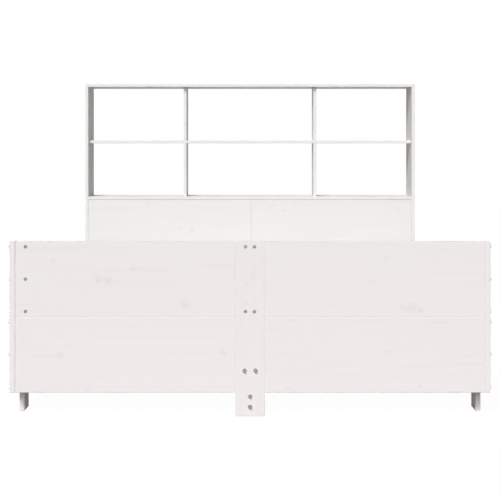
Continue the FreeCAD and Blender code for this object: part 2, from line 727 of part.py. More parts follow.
def steel_angle():
    """Steel angle; its corner is the Z axis and its legs run to +X and -Y."""
    leg = sizes.angle_leg
    wall = sizes.angle_thick
    spots = [(0, 0), (leg, 0), (leg, -wall), (wall, -wall), (wall, -leg), (0, -leg)]
    outline = [Vector(x, y, 0) for x, y in spots + spots[:1]]
    angle = Part.Face(Part.makePolygon(outline)).extrude(Vector(0, 0, sizes.angle_tall))
    middle = (leg + wall) / 2
    for height in (sizes.angle_tall / 4, 3 * sizes.angle_tall / 4):
        for corner, way in ((Vector(0, -middle, height), "+X"),
                            (Vector(middle, 0, height), "-Y")):
            hole = hollow_round(sizes.angle_hole, 0, wall, sizes.hidden_sides)
            hole.Placement = Placement(corner, Z_TO[way])
            angle = angle.cut(hole)
    return angle


def spot_at(x, y, z, way):
    return Placement(Vector(x, y, z), Z_TO[way])


def bolt_heights():
    return [sheet_value(ROW_Z[row] + " + " + up) for row in ROWS for up in BOLT_ROWS]


def side_fasteners():
    """Bolts through the end posts and the barrel nuts that they draw up."""
    plank_mid = sheet_value("Layout.plank_y + Sizes.board_thick / 2")
    bolts = []
    barrels = []
    for height in bolt_heights():
        for sign, way in ((-1, "-X"), (1, "+X")):
            bolts.append(spot_at(sign * layout.outer_half, plank_mid, height, way))
            x = sign * sheet_value("Layout.inner_half - Sizes.barrel_inset")
            barrels.append(spot_at(x, plank_mid, height, "+Y"))
    group("side_bolts", flange_bolt(), bolts)
    group("barrel_nuts", barrel_nut(), barrels)


def plate_fasteners():
    """Socket bolts and sleeve nuts that clamp the plate to the batten."""
    sink_y = layout.plank_y + sizes.plate_sink
    bolts = []
    nuts = []
    for up in BOLT_ROWS[::2]:
        height = sheet_value("Layout.upper_z + " + up)
        for sign in (-1, 1):
            x = sign * sizes.plate_bolt_x
            bolts.append(spot_at(x, sink_y, height, "-Y"))
            nuts.append(spot_at(x, layout.well_y, height, "+Y"))
    group("plate_bolts", plate_bolt(), bolts)
    group("sleeve_nuts", sleeve_nut(), nuts)


def leg_fasteners():
    """Bolts through the leg, the batten and the plate, with nuts outside."""
    spots = [(sheet_value(x), sheet_value(z)) for x, z in leg_bolt_spots("0")]
    back_y = layout.plank_back + layout.leg_deep
    group("leg_bolts", leg_bolt(), [spot_at(x, back_y, z, "+Y") for x, z in spots])
    group("leg_nuts", leg_nut(),
          [spot_at(x, layout.plank_y, z, "-Y") for x, z in spots])


def corner_angles():
    """Steel angles between the side rails and the head and foot planks."""
    # the head planks begin above the rails' underside, so the angles do too
    head_heights = (layout.head_low_z + sizes.angle_edge,
                    layout.upper_z - sizes.angle_edge - sizes.angle_tall)
    # at the foot they lie halfway between the barrel nuts
    rows = [sizes.floor_gap + sheet_value(up) for up in BOLT_ROWS]
    foot_heights = [(low + high - sizes.angle_tall) / 2
                    for low, high in zip(rows, rows[1:])]
    # corner, heights and turn about Z
    corners = (
        (-layout.inner_half, layout.head_plank_y, head_heights, 0),
        (layout.inner_half, layout.head_plank_y, head_heights, -90),
        (-layout.inner_half, layout.plank_back, foot_heights, 90),
        (layout.inner_half, layout.plank_back, foot_heights, 180),
    )
    spots = []
    for x, y, heights, turn in corners:
        way = Rotation(Vector(0, 0, 1), turn)
        spots += [Placement(Vector(x, y, height), way) for height in heights]
    group("corner_angles", steel_angle(), spots)


def dowels():
    """Wooden dowels of headboard, posts and plate; z = 0 is where boards meet."""
    peg = solid_round(sizes.dowel_wide, -sizes.dowel_face,
                      sizes.dowel_face + sizes.dowel_end, sizes.hidden_sides)
    spots = []
    inner = [sheet_value("Layout.inner_y + " + y) for y in INNER_DOWELS]
    deep = [sheet_value("Layout.head_y + " + y) for y in DEEP_DOWELS]
    panel_x = layout.outer_half - sizes.panel_thick / 2
    divider_x = layout.divider_x + sizes.divider_thick / 2
    shelf_mid = layout.shelf_z + sizes.shelf_thick / 2
    bottom_mid = layout.bottom_z + sizes.shelf_thick / 2
    floor_z = layout.bottom_z + sizes.shelf_thick
    plank_mid = layout.head_plank_y + sizes.head_plank_thick / 2
    plank_low = (layout.head_low_z, layout.head_low_z + sizes.board_tall)
    plank_z = [base + sheet_value(up) for base in plank_low for up in PLANK_DOWELS]
    rail_x = layout.outer_half - sizes.board_thick / 2
    rail_z = [sizes.floor_gap + sheet_value(up) for up in PLANK_DOWELS]
    plate_x = sizes.plate_wide / 2
    foot_mid = layout.plank_y + sizes.board_thick / 2
    foot_z = [sheet_value(plus(ROW_Z[row], up)) for row in ROWS for up in PLANK_DOWELS]
    for sign, inward in ((-1, "+X"), (1, "-X")):
        face_x = sign * layout.head_half
        spots += [spot_at(sign * panel_x, y, layout.top_z, "-Z") for y in deep]
        spots += [spot_at(sign * divider_x, y, layout.top_z, "-Z") for y in inner]
        spots += [spot_at(sign * divider_x, y, floor_z, "+Z") for y in inner]
        spots += [spot_at(face_x, y, shelf_mid, inward) for y in inner]
        spots += [spot_at(face_x, y, bottom_mid, inward) for y in deep]
        spots += [spot_at(face_x, plank_mid, z, inward) for z in plank_z]
        spots += [spot_at(sign * rail_x, layout.rail_y, z, "+Y") for z in rail_z]
        outward = "+X" if sign > 0 else "-X"
        spots += [spot_at(sign * plate_x, foot_mid, z, outward) for z in foot_z]
    group("wood_dowels", peg, spots)


# ---------------------------------------------------------------- build and write
def check_document():
    doc.recompute()
    for item in doc.Objects:
        if "Invalid" in item.State or "Error" in item.State:
            raise ValueError(item.Label + " did not recompute")
    for item in PARTS:
        if item.Shape.isNull() or not item.Shape.isValid() or not item.Shape.Solids:
            raise ValueError(item.Label + " has no valid solid")
    for cut in CUTS:
        if cut.Shape.Volume >= cut.BaseFeature.Shape.Volume:
            raise ValueError(cut.Name + " cuts nothing")


for row in ROWS:
    for side in SIDES:
        foot_plank(row, side)
foot_centre_plate()
foot_batten()
foot_centre_leg()
for side in SIDES:
    side_pieces(side)
mattress_base()
headboard()
side_fasteners()
plate_fasteners()
leg_fasteners()
corner_angles()
dowels()
check_document()

os.makedirs("parts", exist_ok=True)
for item in PARTS:
    item.Shape.exportStep(os.path.join("parts", item.Label + ".step"))
print(len(PARTS), "nodes,", sum(len(item.Shape.Solids) for item in PARTS), "solids")
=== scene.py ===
import math
import random

import bmesh
import bpy
from bpy.props import FloatProperty, FloatVectorProperty, PointerProperty
from mathutils import Matrix, Vector


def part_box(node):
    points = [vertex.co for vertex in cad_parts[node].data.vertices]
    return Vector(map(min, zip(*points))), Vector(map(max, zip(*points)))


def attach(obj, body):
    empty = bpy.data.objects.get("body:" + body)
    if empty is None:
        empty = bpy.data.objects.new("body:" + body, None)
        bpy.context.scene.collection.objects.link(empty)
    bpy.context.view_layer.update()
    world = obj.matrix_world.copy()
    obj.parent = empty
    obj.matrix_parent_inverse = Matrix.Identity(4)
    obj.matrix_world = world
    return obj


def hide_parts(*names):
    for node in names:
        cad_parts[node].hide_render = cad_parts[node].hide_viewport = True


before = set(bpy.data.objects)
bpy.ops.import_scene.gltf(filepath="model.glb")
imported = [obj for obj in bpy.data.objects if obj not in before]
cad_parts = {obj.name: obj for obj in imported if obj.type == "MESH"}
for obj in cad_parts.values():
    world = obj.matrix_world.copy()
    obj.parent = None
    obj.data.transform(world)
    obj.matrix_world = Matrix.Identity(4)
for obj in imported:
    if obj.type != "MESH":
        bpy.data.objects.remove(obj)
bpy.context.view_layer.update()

bl_info = {
    "name": "Bookcase Headboard Bed",
    "version": (1, 0, 0),
    "blender": (4, 5, 0),
    "location": "3D View > Sidebar > Bed",
    "description": "Paint, steel and small fasteners for a bookcase bed",
    "category": "Object",
}

# Metres. +X is to the right seen from the foot, +Y from the foot to the headboard.


# ---------------------------------------------------------------- settings
def colour(name, description, default):
    return FloatVectorProperty(name=name, description=description, subtype="COLOR",
                               size=3, min=0, max=1, default=default)


def length(name, description, default):
    return FloatProperty(name=name, description=description, default=default, min=0,
                         subtype="DISTANCE", unit="LENGTH", precision=4)


def factor(name, description, default):
    return FloatProperty(name=name, description=description, default=default, min=0,
                         max=1, subtype="FACTOR")


class PaintSettings(bpy.types.PropertyGroup):
    foot: colour("Foot", "White paint on foot, sides and legs", (0.842, 0.814, 0.816))
    head: colour("Headboard", "White paint on the headboard", (0.836, 0.828, 0.815))
    knot: colour("Knot", "Where a knot shows through the paint", (0.38, 0.345, 0.32))
    arris: colour("Arris", "Thin paint along the eased edges", (0.82, 0.78, 0.745))
    # Painted shade: a dark colour on eased edges where boards meet, standing in for the
    # shadow in the gap between them.
    joint: colour("Joint", "Where the paint stops inside a joint", (0.34, 0.31, 0.28))
    grain: factor("Grain", "How far the grain shows through the paint", 0.0175)
    knot_show: factor("Knot show", "How far knots show through the paint", 0.14)
    roughness: factor("Roughness", "Satin paint", 0.52)
    shine: factor("Shine", "Specular level of the paint", 0.07)


class WoodSettings(bpy.types.PropertyGroup):
    ring: length("Year ring", "Width of one year ring", 0.0042)
    beech: colour("Beech", "Dowels", (0.62, 0.43, 0.28))


class SteelSettings(bpy.types.PropertyGroup):
    zinc: colour("Zinc", "Zinc-plated steel", (0.50, 0.496, 0.485))
    dull: colour("Dull zinc", "Handled and shaded zinc", (0.24, 0.237, 0.23))
    bright: colour("Bright zinc", "New zinc on the side bolts", (0.82, 0.815, 0.805))
    shade: colour("Bright shade", "Clouds in the bright zinc", (0.62, 0.615, 0.60))
    roughness: factor("Roughness", "Dull plating", 0.38)
    hexagon: length("Hexagon", "Across flats, side bolts and leg nuts", 0.013)
    hexagon_tall: length("Hexagon height", "Height of a side bolt's head", 0.0054)
    flange: length("Flange", "Flange diameter, side bolts and leg nuts", 0.019)
    flange_tall: length("Flange height", "Thickness of a flange", 0.0015)
    shank: length("Shank", "Diameter of every bolt", 0.008)
    barrel: length("Barrel nut", "Diameter and length of a barrel nut", 0.015)
    slot: length("Slot", "Width of a barrel nut's slot", 0.0018)
    slot_deep: length("Slot depth", "Depth of a barrel nut's slot", 0.0016)
    plate_head: length("Plate bolt head", "Diameter of its round head", 0.015)
    plate_head_tall: length("Plate bolt height", "Height of its round head", 0.005)
    socket: length("Socket", "Hexagon socket across flats", 0.005)
    sleeve: length("Sleeve nut", "Outer diameter of a sleeve nut", 0.010)
    sleeve_flange: length("Sleeve flange", "Flange diameter of a sleeve nut", 0.017)
    leg_head: length("Leg bolt head", "Diameter of its domed head", 0.018)
    leg_head_tall: length("Leg bolt height", "Height of its domed head", 0.004)
    screw: length("Screw head", "Diameter of a countersunk screw's head", 0.0085)
    pan: length("Pan screw head", "Diameter of an angle screw's head", 0.0085)
    screw_long: length("Screw length", "Under the head of every wood screw", 0.024)


class StageSettings(bpy.types.PropertyGroup):
    lens: FloatProperty(name="Focal length", description="On a 36 mm wide sensor",
                        default=75.08, min=1, subtype="DISTANCE_CAMERA", unit="CAMERA")
    away: length("Camera distance", "From the lens to the foot planks", 4.458)
    eye: length("Camera height", "Lens above the floor", 1.1703)
    shift: FloatProperty(name="Vertical shift", description="Share of the frame's width",
                         default=-0.215, min=-1, max=1)
    floor: colour("Floor", "Plain pale floor", (0.38, 0.353, 0.328))
    half_floor: length("Floor half width", "From the middle to the floor's edge", 14.0)
    glow: FloatProperty(name="Floor glow", description="White that the camera sees",
                        default=1.085, min=0)
    glow_share: factor("Glow share", "The rest of the floor keeps the shadow", 0.90)
    ambient: FloatProperty(name="Ambient", description="Light from all round", min=0,
                           default=0.05)
    key: FloatProperty(name="Key lamp", description="Upper left front, W/m2", min=0,
                       default=2.20)
    fill: FloatProperty(name="Fill lamp", description="From the front, W/m2", min=0,
                        default=1.38)
    back: FloatProperty(name="Back lamp", description="From behind, W/m2", min=0,
                        default=0.4)


GROUPS = {
    "bed_paint": PaintSettings,
    "bed_wood": WoodSettings,
    "bed_steel": SteelSettings,
    "bed_stage": StageSettings,
}


# ---------------------------------------------------------------- shader helpers
def put(tree, kind, inputs=None, **settings):
    """One node with its settings; an input is a value or another node's output."""
    node = tree.nodes.new("ShaderNode" + kind)
    for key, value in settings.items():
        setattr(node, key, value)
    for key, value in (inputs or {}).items():
        if isinstance(value, bpy.types.NodeSocket):
            tree.links.new(value, node.inputs[key])
        else:
            node.inputs[key].default_value = value
    return node


def calc(tree, operation, *values, clamp=False):
    """The output of a Math node."""
    inputs = dict(enumerate(values))
    return put(tree, "Math", inputs, operation=operation, use_clamp=clamp).outputs[0]


def ramp(tree, value, low, high, to_low=0.0, to_high=1.0):
    """A smooth step from one level to another."""
    inputs = {"Value": value, "From Min": low, "From Max": high,
              "To Min": to_low, "To Max": to_high}
    return put(tree, "MapRange", inputs, interpolation_type="SMOOTHSTEP").outputs[0]


def speckle(tree, place, scale=1.0, detail=2.0, stretch=(1, 1, 1)):
    """Noise over a place, its scale per metre, or one for each axis in stretch."""
    drawn = put(tree, "Mapping", {"Vector": place, "Scale": stretch}).outputs[0]
    inputs = {"Vector": drawn, "Scale": scale, "Detail": detail}
    return put(tree, "TexNoise", inputs).outputs["Fac"]


def blend_colours(tree, share, first, second):
    node = put(tree, "Mix", data_type="RGBA")
    for key, value in (("Factor_Float", share), ("A_Color", first), ("B_Color", second)):
        socket = [item for item in node.inputs if item.identifier == key][0]
        if isinstance(value, bpy.types.NodeSocket):
            tree.links.new(value, socket)
        elif key == "Factor_Float":
            socket.default_value = value
        else:
            socket.default_value = (*value, 1)
    return [item for item in node.outputs if item.identifier == "Result_Color"][0]


def bare_tree(owner):
    """The emptied node tree of a new material or world."""
    owner.use_nodes = True
    owner.node_tree.nodes.clear()
    return owner.node_tree


def new_material(name):
    """A material with a bare Principled shader."""
    material = bpy.data.materials.new(name)
    tree = bare_tree(material)
    shader = put(tree, "BsdfPrincipled")
    put(tree, "OutputMaterial", {"Surface": shader.outputs[0]})
    return material, tree, shader


def dress(tree, shader, tone, rough, height, strength, distance):
    """Give a shader its colour, its roughness and its bump."""
    bump = put(tree, "Bump", {"Height": height, "Strength": strength,
                              "Distance": distance})
    for name, value in (("Base Color", tone), ("Roughness", rough),
                        ("Normal", bump.outputs[0])):
        tree.links.new(value, shader.inputs[name])


def new_group(name, inputs, outputs):
    """A node group with its input and output nodes."""
    tree = bpy.data.node_groups.new(name, "ShaderNodeTree")
    for way, sockets in (("INPUT", inputs), ("OUTPUT", outputs)):
        for label, kind in sockets:
            tree.interface.new_socket(label, in_out=way, socket_type="NodeSocket" + kind)
    start = tree.nodes.new("NodeGroupInput")
    end = tree.nodes.new("NodeGroupOutput")
    return tree, start.outputs, end.inputs


# ---------------------------------------------------------------- wood
def hypotenuse(tree, first, second):
    """The length of two values at right angles."""
    squares = calc(tree, "ADD", calc(tree, "MULTIPLY", first, first),
                   calc(tree, "MULTIPLY", second, second))
    return calc(tree, "SQRT", squares)


def axes_of(tree, place):
    """A place's three parts."""
    return put(tree, "SeparateXYZ", {0: place}).outputs


def bell(tree, value, width):
    """One in the middle of a value's range, falling to nothing at its width."""
    share = calc(tree, "DIVIDE", value, width)
    return ramp(tree, calc(tree, "ABSOLUTE", share), 0.0, 1.0, 1.0, 0.0)


def knot_group():
    """One knot: its mottled eye, its bark ring and the swell of the grain round it."""
    tree, given, result = new_group(
        "Pine knot",
        (("Place", "Vector"), ("Middle", "Vector"), ("Radius", "Float"),
         ("Stretch", "Float")),
        (("Eye", "Float"), ("Ring", "Float"), ("Swell", "Float")))
    offset = put(tree, "VectorMath", {0: given["Place"], 1: given["Middle"]},
                 operation="SUBTRACT").outputs[0]
    axes = axes_of(tree, offset)
    along = calc(tree, "DIVIDE", axes[0], given["Stretch"])
    plain = calc(tree, "DIVIDE", hypotenuse(tree, along, axes[2]), given["Radius"])
    uneven = speckle(tree, given["Place"], scale=62.0, detail=3.0)
    reach = calc(tree, "ADD", plain, calc(tree, "MULTIPLY_ADD", uneven, 1.9, -0.95))
    mottle = ramp(tree, speckle(tree, given["Place"], scale=210.0), 0.35, 0.65, 0.45, 1.0)
    eye = calc(tree, "MULTIPLY", ramp(tree, reach, 0.45, 1.05, 1.0, 0.0), mottle)
    tail = calc(tree, "MULTIPLY",
                bell(tree, along, calc(tree, "MULTIPLY", given["Radius"], 4.2)),
                bell(tree, axes[2], calc(tree, "MULTIPLY", given["Radius"], 0.4)))
    torn = speckle(tree, given["Place"], detail=3.0, stretch=(30, 260, 260))
    broken = ramp(tree, torn, 0.46, 0.60, 0.0, 0.55)
    eye = calc(tree, "MAXIMUM", eye, calc(tree, "MULTIPLY", tail, broken))
    rim = calc(tree, "SUBTRACT", reach, 0.95)
    patchy = ramp(tree, speckle(tree, given["Place"], scale=45.0, detail=1.0), 0.42, 0.60)
    ring = calc(tree, "MULTIPLY", bell(tree, rim, 0.26), patchy)
    swell = calc(tree, "POWER", 2.718, calc(tree, "MULTIPLY", plain, -0.55))
    for label, value in (("Eye", eye), ("Ring", ring), ("Swell", swell)):
        tree.links.new(value, result[label])
    return tree


def figure_group():
    """Year rings round a log's heart, cut along by the board, and broad streaks."""
    tree, given, result = new_group(
        "Pine figure",
        (("Place", "Vector"), ("Heart", "Vector"), ("Seed", "Vector"),
         ("Ring", "Float"), ("Swell", "Float")),
        (("Late", "Float"), ("Streak", "Float"), ("Fibre", "Float")))
    moved = put(tree, "VectorMath", {0: given["Place"], 1: given["Seed"]}).outputs[0]
    from_heart = put(tree, "VectorMath", {0: given["Place"], 1: given["Heart"]},
                     operation="SUBTRACT").outputs[0]
    axes = axes_of(tree, from_heart)
    radius = hypotenuse(tree, axes[1], axes[2])
    sway = speckle(tree, moved, stretch=(0.45, 4.0, 4.0))
    radius = calc(tree, "MULTIPLY_ADD", sway, 0.034, radius)
    ripple = speckle(tree, moved, detail=3.0, stretch=(4.0, 60.0, 60.0))
    radius = calc(tree, "MULTIPLY_ADD", ripple, 0.0018, radius)
    radius = calc(tree, "MULTIPLY_ADD", given["Swell"], 0.011, radius)
    phase = calc(tree, "FRACT", calc(tree, "DIVIDE", radius, given["Ring"]))
    rise = ramp(tree, phase, 0.25, 0.88)
    fall = ramp(tree, phase, 0.90, 1.0, 1.0, 0.0)
    patches = speckle(tree, moved, stretch=(1.6, 18.0, 18.0))
    strength = ramp(tree, patches, 0.3, 0.7, 0.35, 1.0)
    late = calc(tree, "MULTIPLY", calc(tree, "MULTIPLY", rise, fall), strength)
    streak = speckle(tree, moved, detail=4.0, stretch=(1.7, 62.0, 62.0))
    fibre = speckle(tree, moved, detail=5.0, stretch=(22.0, 900.0, 900.0))
    for label, value in (("Late", late), ("Streak", streak), ("Fibre", fibre)):
        tree.links.new(value, result[label])
    return tree


def node_group(name, build):
    return bpy.data.node_groups.get(name) or build()


def grain_order(low, high):
    """A board's axes: along the grain, through its thickness, across its face."""
    spans = [high[axis] - low[axis] for axis in range(3)]
    through, across, along = sorted(range(3), key=lambda axis: spans[axis])
    return along, through, across


def board_place(tree, low, high):
    """A point's place on a board from its middle: along, through and across."""
    middle = [-(low[axis] + high[axis]) / 2 for axis in range(3)]
    spot = put(tree, "TexCoord").outputs["Object"]
    centred = put(tree, "Mapping", {"Vector": spot, "Location": middle}).outputs[0]
    axes = axes_of(tree, centred)
    along, through, across = grain_order(low, high)
    order = {0: axes[along], 1: axes[through], 2: axes[across]}
    return put(tree, "CombineXYZ", order).outputs[0]


def knots_on(tree, place, knots):
    """Eye, ring and swell of all (along, across, radius, stretch, show) knots."""
    totals = [None, None, None]
    for along, across, radius, stretch, show in knots:
        knot = put(tree, "Group", node_tree=node_group("Pine knot", knot_group))
        tree.links.new(place, knot.inputs["Place"])
        knot.inputs["Middle"].default_value = (along, 0, across)
        knot.inputs["Radius"].default_value = radius
        knot.inputs["Stretch"].default_value = stretch
        for index, output in enumerate(knot.outputs):
            value = calc(tree, "MULTIPLY", output, show if index < 2 else 1.0)
            if totals[index] is not None:
                value = calc(tree, "ADD", totals[index], value)
            totals[index] = value
    return [0.0 if total is None else total for total in totals]


def wood_figure(tree, place, chance, ring, swell):
    """Late wood, streaks and fibre of a board cut by chance from some log."""
    away = chance.choice((-1, 1)) * chance.uniform(0.05, 0.16)
    heart = (0, away, chance.uniform(-0.07, 0.07))
    seed = [chance.uniform(-9, 9) for _ in range(3)]
    inputs = {"Place": place, "Heart": heart, "Seed": seed, "Ring": ring,
              "Swell": swell}
    return put(tree, "Group", inputs,
               node_tree=node_group("Pine figure", figure_group)).outputs


def arris_mask(tree, downwards=False):
    """One on the eased edges, which face between the axes; or on the lower ones only."""
    normal = put(tree, "TexCoord").outputs["Normal"]
    size = put(tree, "VectorMath", {0: normal}, operation="ABSOLUTE").outputs[0]
    axes = axes_of(tree, size)
    most = calc(tree, "MAXIMUM", calc(tree, "MAXIMUM", axes[0], axes[1]), axes[2])
    eased = ramp(tree, most, 0.80, 0.97, 1.0, 0.0)
    if downwards:
        height = axes_of(tree, normal)[2]
        eased = calc(tree, "MULTIPLY", eased, ramp(tree, height, -0.3, -0.1, 1.0, 0.0))
    return eased


def face_share(tree, through):
    """One on a board's two wide faces and less on its edges, where paint lies thick."""
    axes = axes_of(tree, put(tree, "TexCoord").outputs["Normal"])
    return ramp(tree, calc(tree, "ABSOLUTE", axes[through]), 0.5, 0.9, 0.4, 1.0)


def painted_pine(name, low, high, paint, knots, seed, joint=None):
    """Satin white paint that lets the grain and knots of one board show faintly.

    A last pair tells how dark the painted shade on the eased edges is, where the board
    meets others, and whether only the lower edges get it.
    """
    look = bpy.context.scene.bed_paint
    chance = random.Random(seed)
    material, tree, shader = new_material(name)
    place = board_place(tree, low, high)
    eye, ring, swell = knots_on(tree, place, knots)
    year = bpy.context.scene.bed_wood.ring * chance.uniform(1.1, 1.9)
    late, streak, fibre = wood_figure(tree, place, chance, year, swell)
    tone = chance.uniform(0.99, 1.0)
    coat = [value * tone for value in paint]
    grain = calc(tree, "MULTIPLY", late, look.grain)
    broad = ramp(tree, streak, 0.46, 0.72, 0.0, look.grain * 1.9)
    clouds = speckle(tree, place, scale=2.2, detail=3.0, stretch=(0.6, 1, 1.6))
    cloud = ramp(tree, clouds, 0.4, 0.75, 0.0, look.grain * 0.55)
    shade = calc(tree, "ADD", calc(tree, "ADD", grain, broad), cloud, clamp=True)
    shade = calc(tree, "MULTIPLY", shade, face_share(tree, grain_order(low, high)[1]))
    painted = blend_colours(tree, shade, coat, look.knot)
    if knots:
        core = calc(tree, "MULTIPLY_ADD", ring, 0.55, eye)
        show = calc(tree, "MULTIPLY", core, look.knot_show, clamp=True)
        painted = blend_colours(tree, show, painted, look.knot)
    wear = speckle(tree, place, scale=9.0, detail=3.0, stretch=(0.7, 4, 4))
    worn = ramp(tree, wear, 0.4, 0.7, 0.08, 0.3)
    edge = calc(tree, "MULTIPLY", arris_mask(tree), worn)
    painted = blend_colours(tree, edge, painted, look.arris)
    # Painted shade: eased edges darkened where the board meets others, for the shadow in
    # the gap.
    if joint:
        dark, downwards = joint
        seam = calc(tree, "MULTIPLY", arris_mask(tree, downwards), dark)
        painted = blend_colours(tree, seam, painted, look.joint)
    shader.inputs["Specular IOR Level"].default_value = look.shine
    sheen = speckle(tree, place, scale=14.0, detail=3.0, stretch=(0.5, 1, 1))
    rough = ramp(tree, sheen, 0.3, 0.7, look.roughness - 0.05, look.roughness + 0.07)
    height = calc(tree, "MULTIPLY_ADD", fibre, 0.35, calc(tree, "MULTIPLY", late, 0.5))
    if knots:
        height = calc(tree, "SUBTRACT", height, calc(tree, "MULTIPLY", ring, 0.8))
    dress(tree, shader, painted, rough, height, strength=0.35, distance=0.0004)
    return material


def beech():
    """Fluted beech: short dark flecks on an even reddish ground."""
    look = bpy.context.scene.bed_wood
    material, tree, shader = new_material("fluted_beech")
    spot = put(tree, "TexCoord").outputs["Object"]
    fleck = ramp(tree, speckle(tree, spot, scale=700.0, stretch=(0.3, 1, 1)), 0.55, 0.7)
    wood = blend_colours(tree, calc(tree, "MULTIPLY", fleck, 0.5), look.beech,
                         [value * 0.6 for value in look.beech])
    rough = ramp(tree, fleck, 0.0, 1.0, 0.5, 0.65)
    dress(tree, shader, wood, rough, fleck, strength=0.3, distance=0.0002)
    return material


def zinc_steel(bright=False):
    """Zinc plating, dull or bright, with cloudy patches and fine scratches."""
    name = "bright_zinc" if bright else "dull_zinc"
    found = bpy.data.materials.get(name)
    if found:
        return found
    look = bpy.context.scene.bed_steel
    material, tree, shader = new_material(name)
    spot = put(tree, "TexCoord").outputs["Object"]
    patch = ramp(tree, speckle(tree, spot, scale=240.0, detail=4.0), 0.35, 0.68)
    tones = (look.bright, look.shade) if bright else (look.zinc, look.dull)
    plating = blend_colours(tree, patch, *tones)
    shader.inputs["Metallic"].default_value = 1.0
    scratch = speckle(tree, spot, scale=900.0, detail=3.0, stretch=(0.15, 1, 1))
    rough = ramp(tree, scratch, 0.3, 0.7, look.roughness - 0.1, look.roughness + 0.14)
    dress(tree, shader, plating, rough, scratch, strength=0.2, distance=0.0001)
    return material


# ---------------------------------------------------------------- boards
# Knots that show, in metres from the bed's middle and the floor:
# along the grain, across it, radius, stretch along the grain, how far it shows.
SEEN_KNOTS = {
    "foot_plank_upper_left": (
        (-0.841, 0.666, 0.009, 1.0, 1.1), (-0.780, 0.714, 0.009, 1.3, 0.4),
        (-0.646, 0.586, 0.016, 1.1, 1.0), (-0.607, 0.580, 0.015, 1.0, 1.2),
        (-0.622, 0.600, 0.007, 0.7, 0.8), (-0.468, 0.636, 0.009, 1.5, 0.9),
        (-0.500, 0.629, 0.007, 2.2, 0.9), (-0.274, 0.478, 0.024, 0.9, 0.8),
        (-0.280, 0.474, 0.009, 1.0, 0.7), (-0.7225, 0.529, 0.006, 0.5, 0.4)),
    "foot_plank_upper_right": (
        (0.581, 0.679, 0.013, 1.2, 0.5), (0.680, 0.461, 0.022, 1.7, 0.8),
        (0.731, 0.450, 0.011, 1.0, 1.0), (0.513, 0.574, 0.008, 1.6, 0.4),
        (0.345, 0.565, 0.006, 2.0, 0.35)),
    "foot_plank_lower_left": (
        (-0.466, 0.403, 0.008, 1.3, 0.5), (-0.817, 0.258, 0.017, 1.1, 1.0),
        (-0.880, 0.255, 0.004, 9.0, 0.5), (-0.111, 0.270, 0.012, 1.1, 1.1),
        (-0.695, 0.117, 0.007, 1.2, 1.1), (-0.637, 0.172, 0.008, 1.3, 0.5),
        (-0.787, 0.302, 0.006, 1.5, 0.5)),
    "foot_plank_lower_right": (
        (0.812, 0.401, 0.006, 4.0, 0.8), (0.192, 0.411, 0.005, 4.5, 0.6),
        (0.581, 0.270, 0.008, 1.3, 0.9), (0.158, 0.117, 0.006, 3.6, 0.8),
        (0.725, 0.131, 0.008, 1.2, 0.8), (0.352, 0.229, 0.004, 26.0, 0.35)),
    "foot_centre_plate": (
        (0.585, 0.011, 0.008, 1.3, 0.7), (0.561, -0.013, 0.008, 1.1, 1.1),
        (0.4825, -0.015, 0.009, 1.1, 1.0), (0.604, 0.021, 0.020, 1.6, 0.25)),
    "head_plank_upper_left": (
        (-0.640, 0.793, 0.013, 1.3, 0.6), (-0.141, 0.802, 0.012, 1.5, 0.5),
        (-0.443, 0.636, 0.012, 1.6, 0.8), (-0.359, 0.624, 0.012, 1.4, 0.9),
        (-0.918, 0.636, 0.010, 1.4, 0.3)),
    "head_plank_upper_right": (
        (0.136, 0.772, 0.011, 1.4, 0.7), (0.212, 0.747, 0.012, 1.5, 0.8),
        (0.281, 0.792, 0.010, 1.4, 0.6), (0.924, 0.761, 0.011, 1.4, 0.7)),
}

# Boards with painted shade on their eased edges, where they meet others and shadow
# falls in the gap: how dark, and whether only on lower edges.
PAINTED_JOINT_SHADE = {
    "head_plank_upper_left": (0.22, False),
    "head_plank_upper_right": (0.22, False),
    "head_bottom_board": (0.85, True),
}


KNOTS_PER_METRE = 2.2


def chance_knots(low, high, seed):
    """Knots for a board that the front view hides."""
    chance = random.Random(seed)
    along, _, across = grain_order(low, high)
    long = high[along] - low[along]
    wide = high[across] - low[across]
    knots = []
    count = max(1, round(long * KNOTS_PER_METRE))
    for number in range(count):
        spot = -long / 2 + (number + chance.uniform(0.2, 0.8)) * long / count
        knots.append((spot, chance.uniform(-0.42, 0.42) * wide,
                      min(chance.uniform(0.004, 0.013), wide * 0.12),
                      chance.uniform(1.1, 2.2), chance.uniform(0.4, 1.0)))
    return knots


def seen_knots(node, low, high):
    """The knots of a board that shows, moved to its own middle."""
    along, _, across = grain_order(low, high)
    middle = [(low[axis] + high[axis]) / 2 for axis in range(3)]
    return [(spot - middle[along], side - middle[across], radius, stretch, show)
            for spot, side, radius, stretch, show in SEEN_KNOTS[node]]


def cover(node, material):
    """Give a CAD node one material."""
    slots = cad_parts[node].data.materials
    slots.clear()
    slots.append(material)


def nodes_named(*starts):
    found = sorted(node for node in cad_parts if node.startswith(starts))
    if not found:
        raise RuntimeError("no node is named " + " or ".join(starts))
    return found


def paint_boards(*starts):
    """Paint every board whose name starts so, each with its own grain and knots."""
    for node in nodes_named(*starts):
        low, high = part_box(node)
        if node in SEEN_KNOTS:
            knots = seen_knots(node, low, high)
        else:
            knots = chance_knots(low, high, node)
        look = bpy.context.scene.bed_paint
        paint = look.head if node.startswith("head_") else look.foot
        cover(node, painted_pine("paint_" + node, low, high, paint, knots, node,
                                 PAINTED_JOINT_SHADE.get(node)))


# ---------------------------------------------------------------- steel shapes
# Metres, apart from counts, the angle past which an edge stays sharp, and shares.
ROUND_SIDES = 24
HEXAGON_CUTS = ROUND_SIDES // 6 - 1
SHARP = math.radians(28)
MERGE_WITHIN = 1e-6
THREAD_PITCH = 0.00125
THREAD_ROOT = 0.90
SCREW_THIN = 0.0012
SCREW_TAPER = 0.004
# A driver recess drawn in to this share between its points is a star.
STAR = 0.76


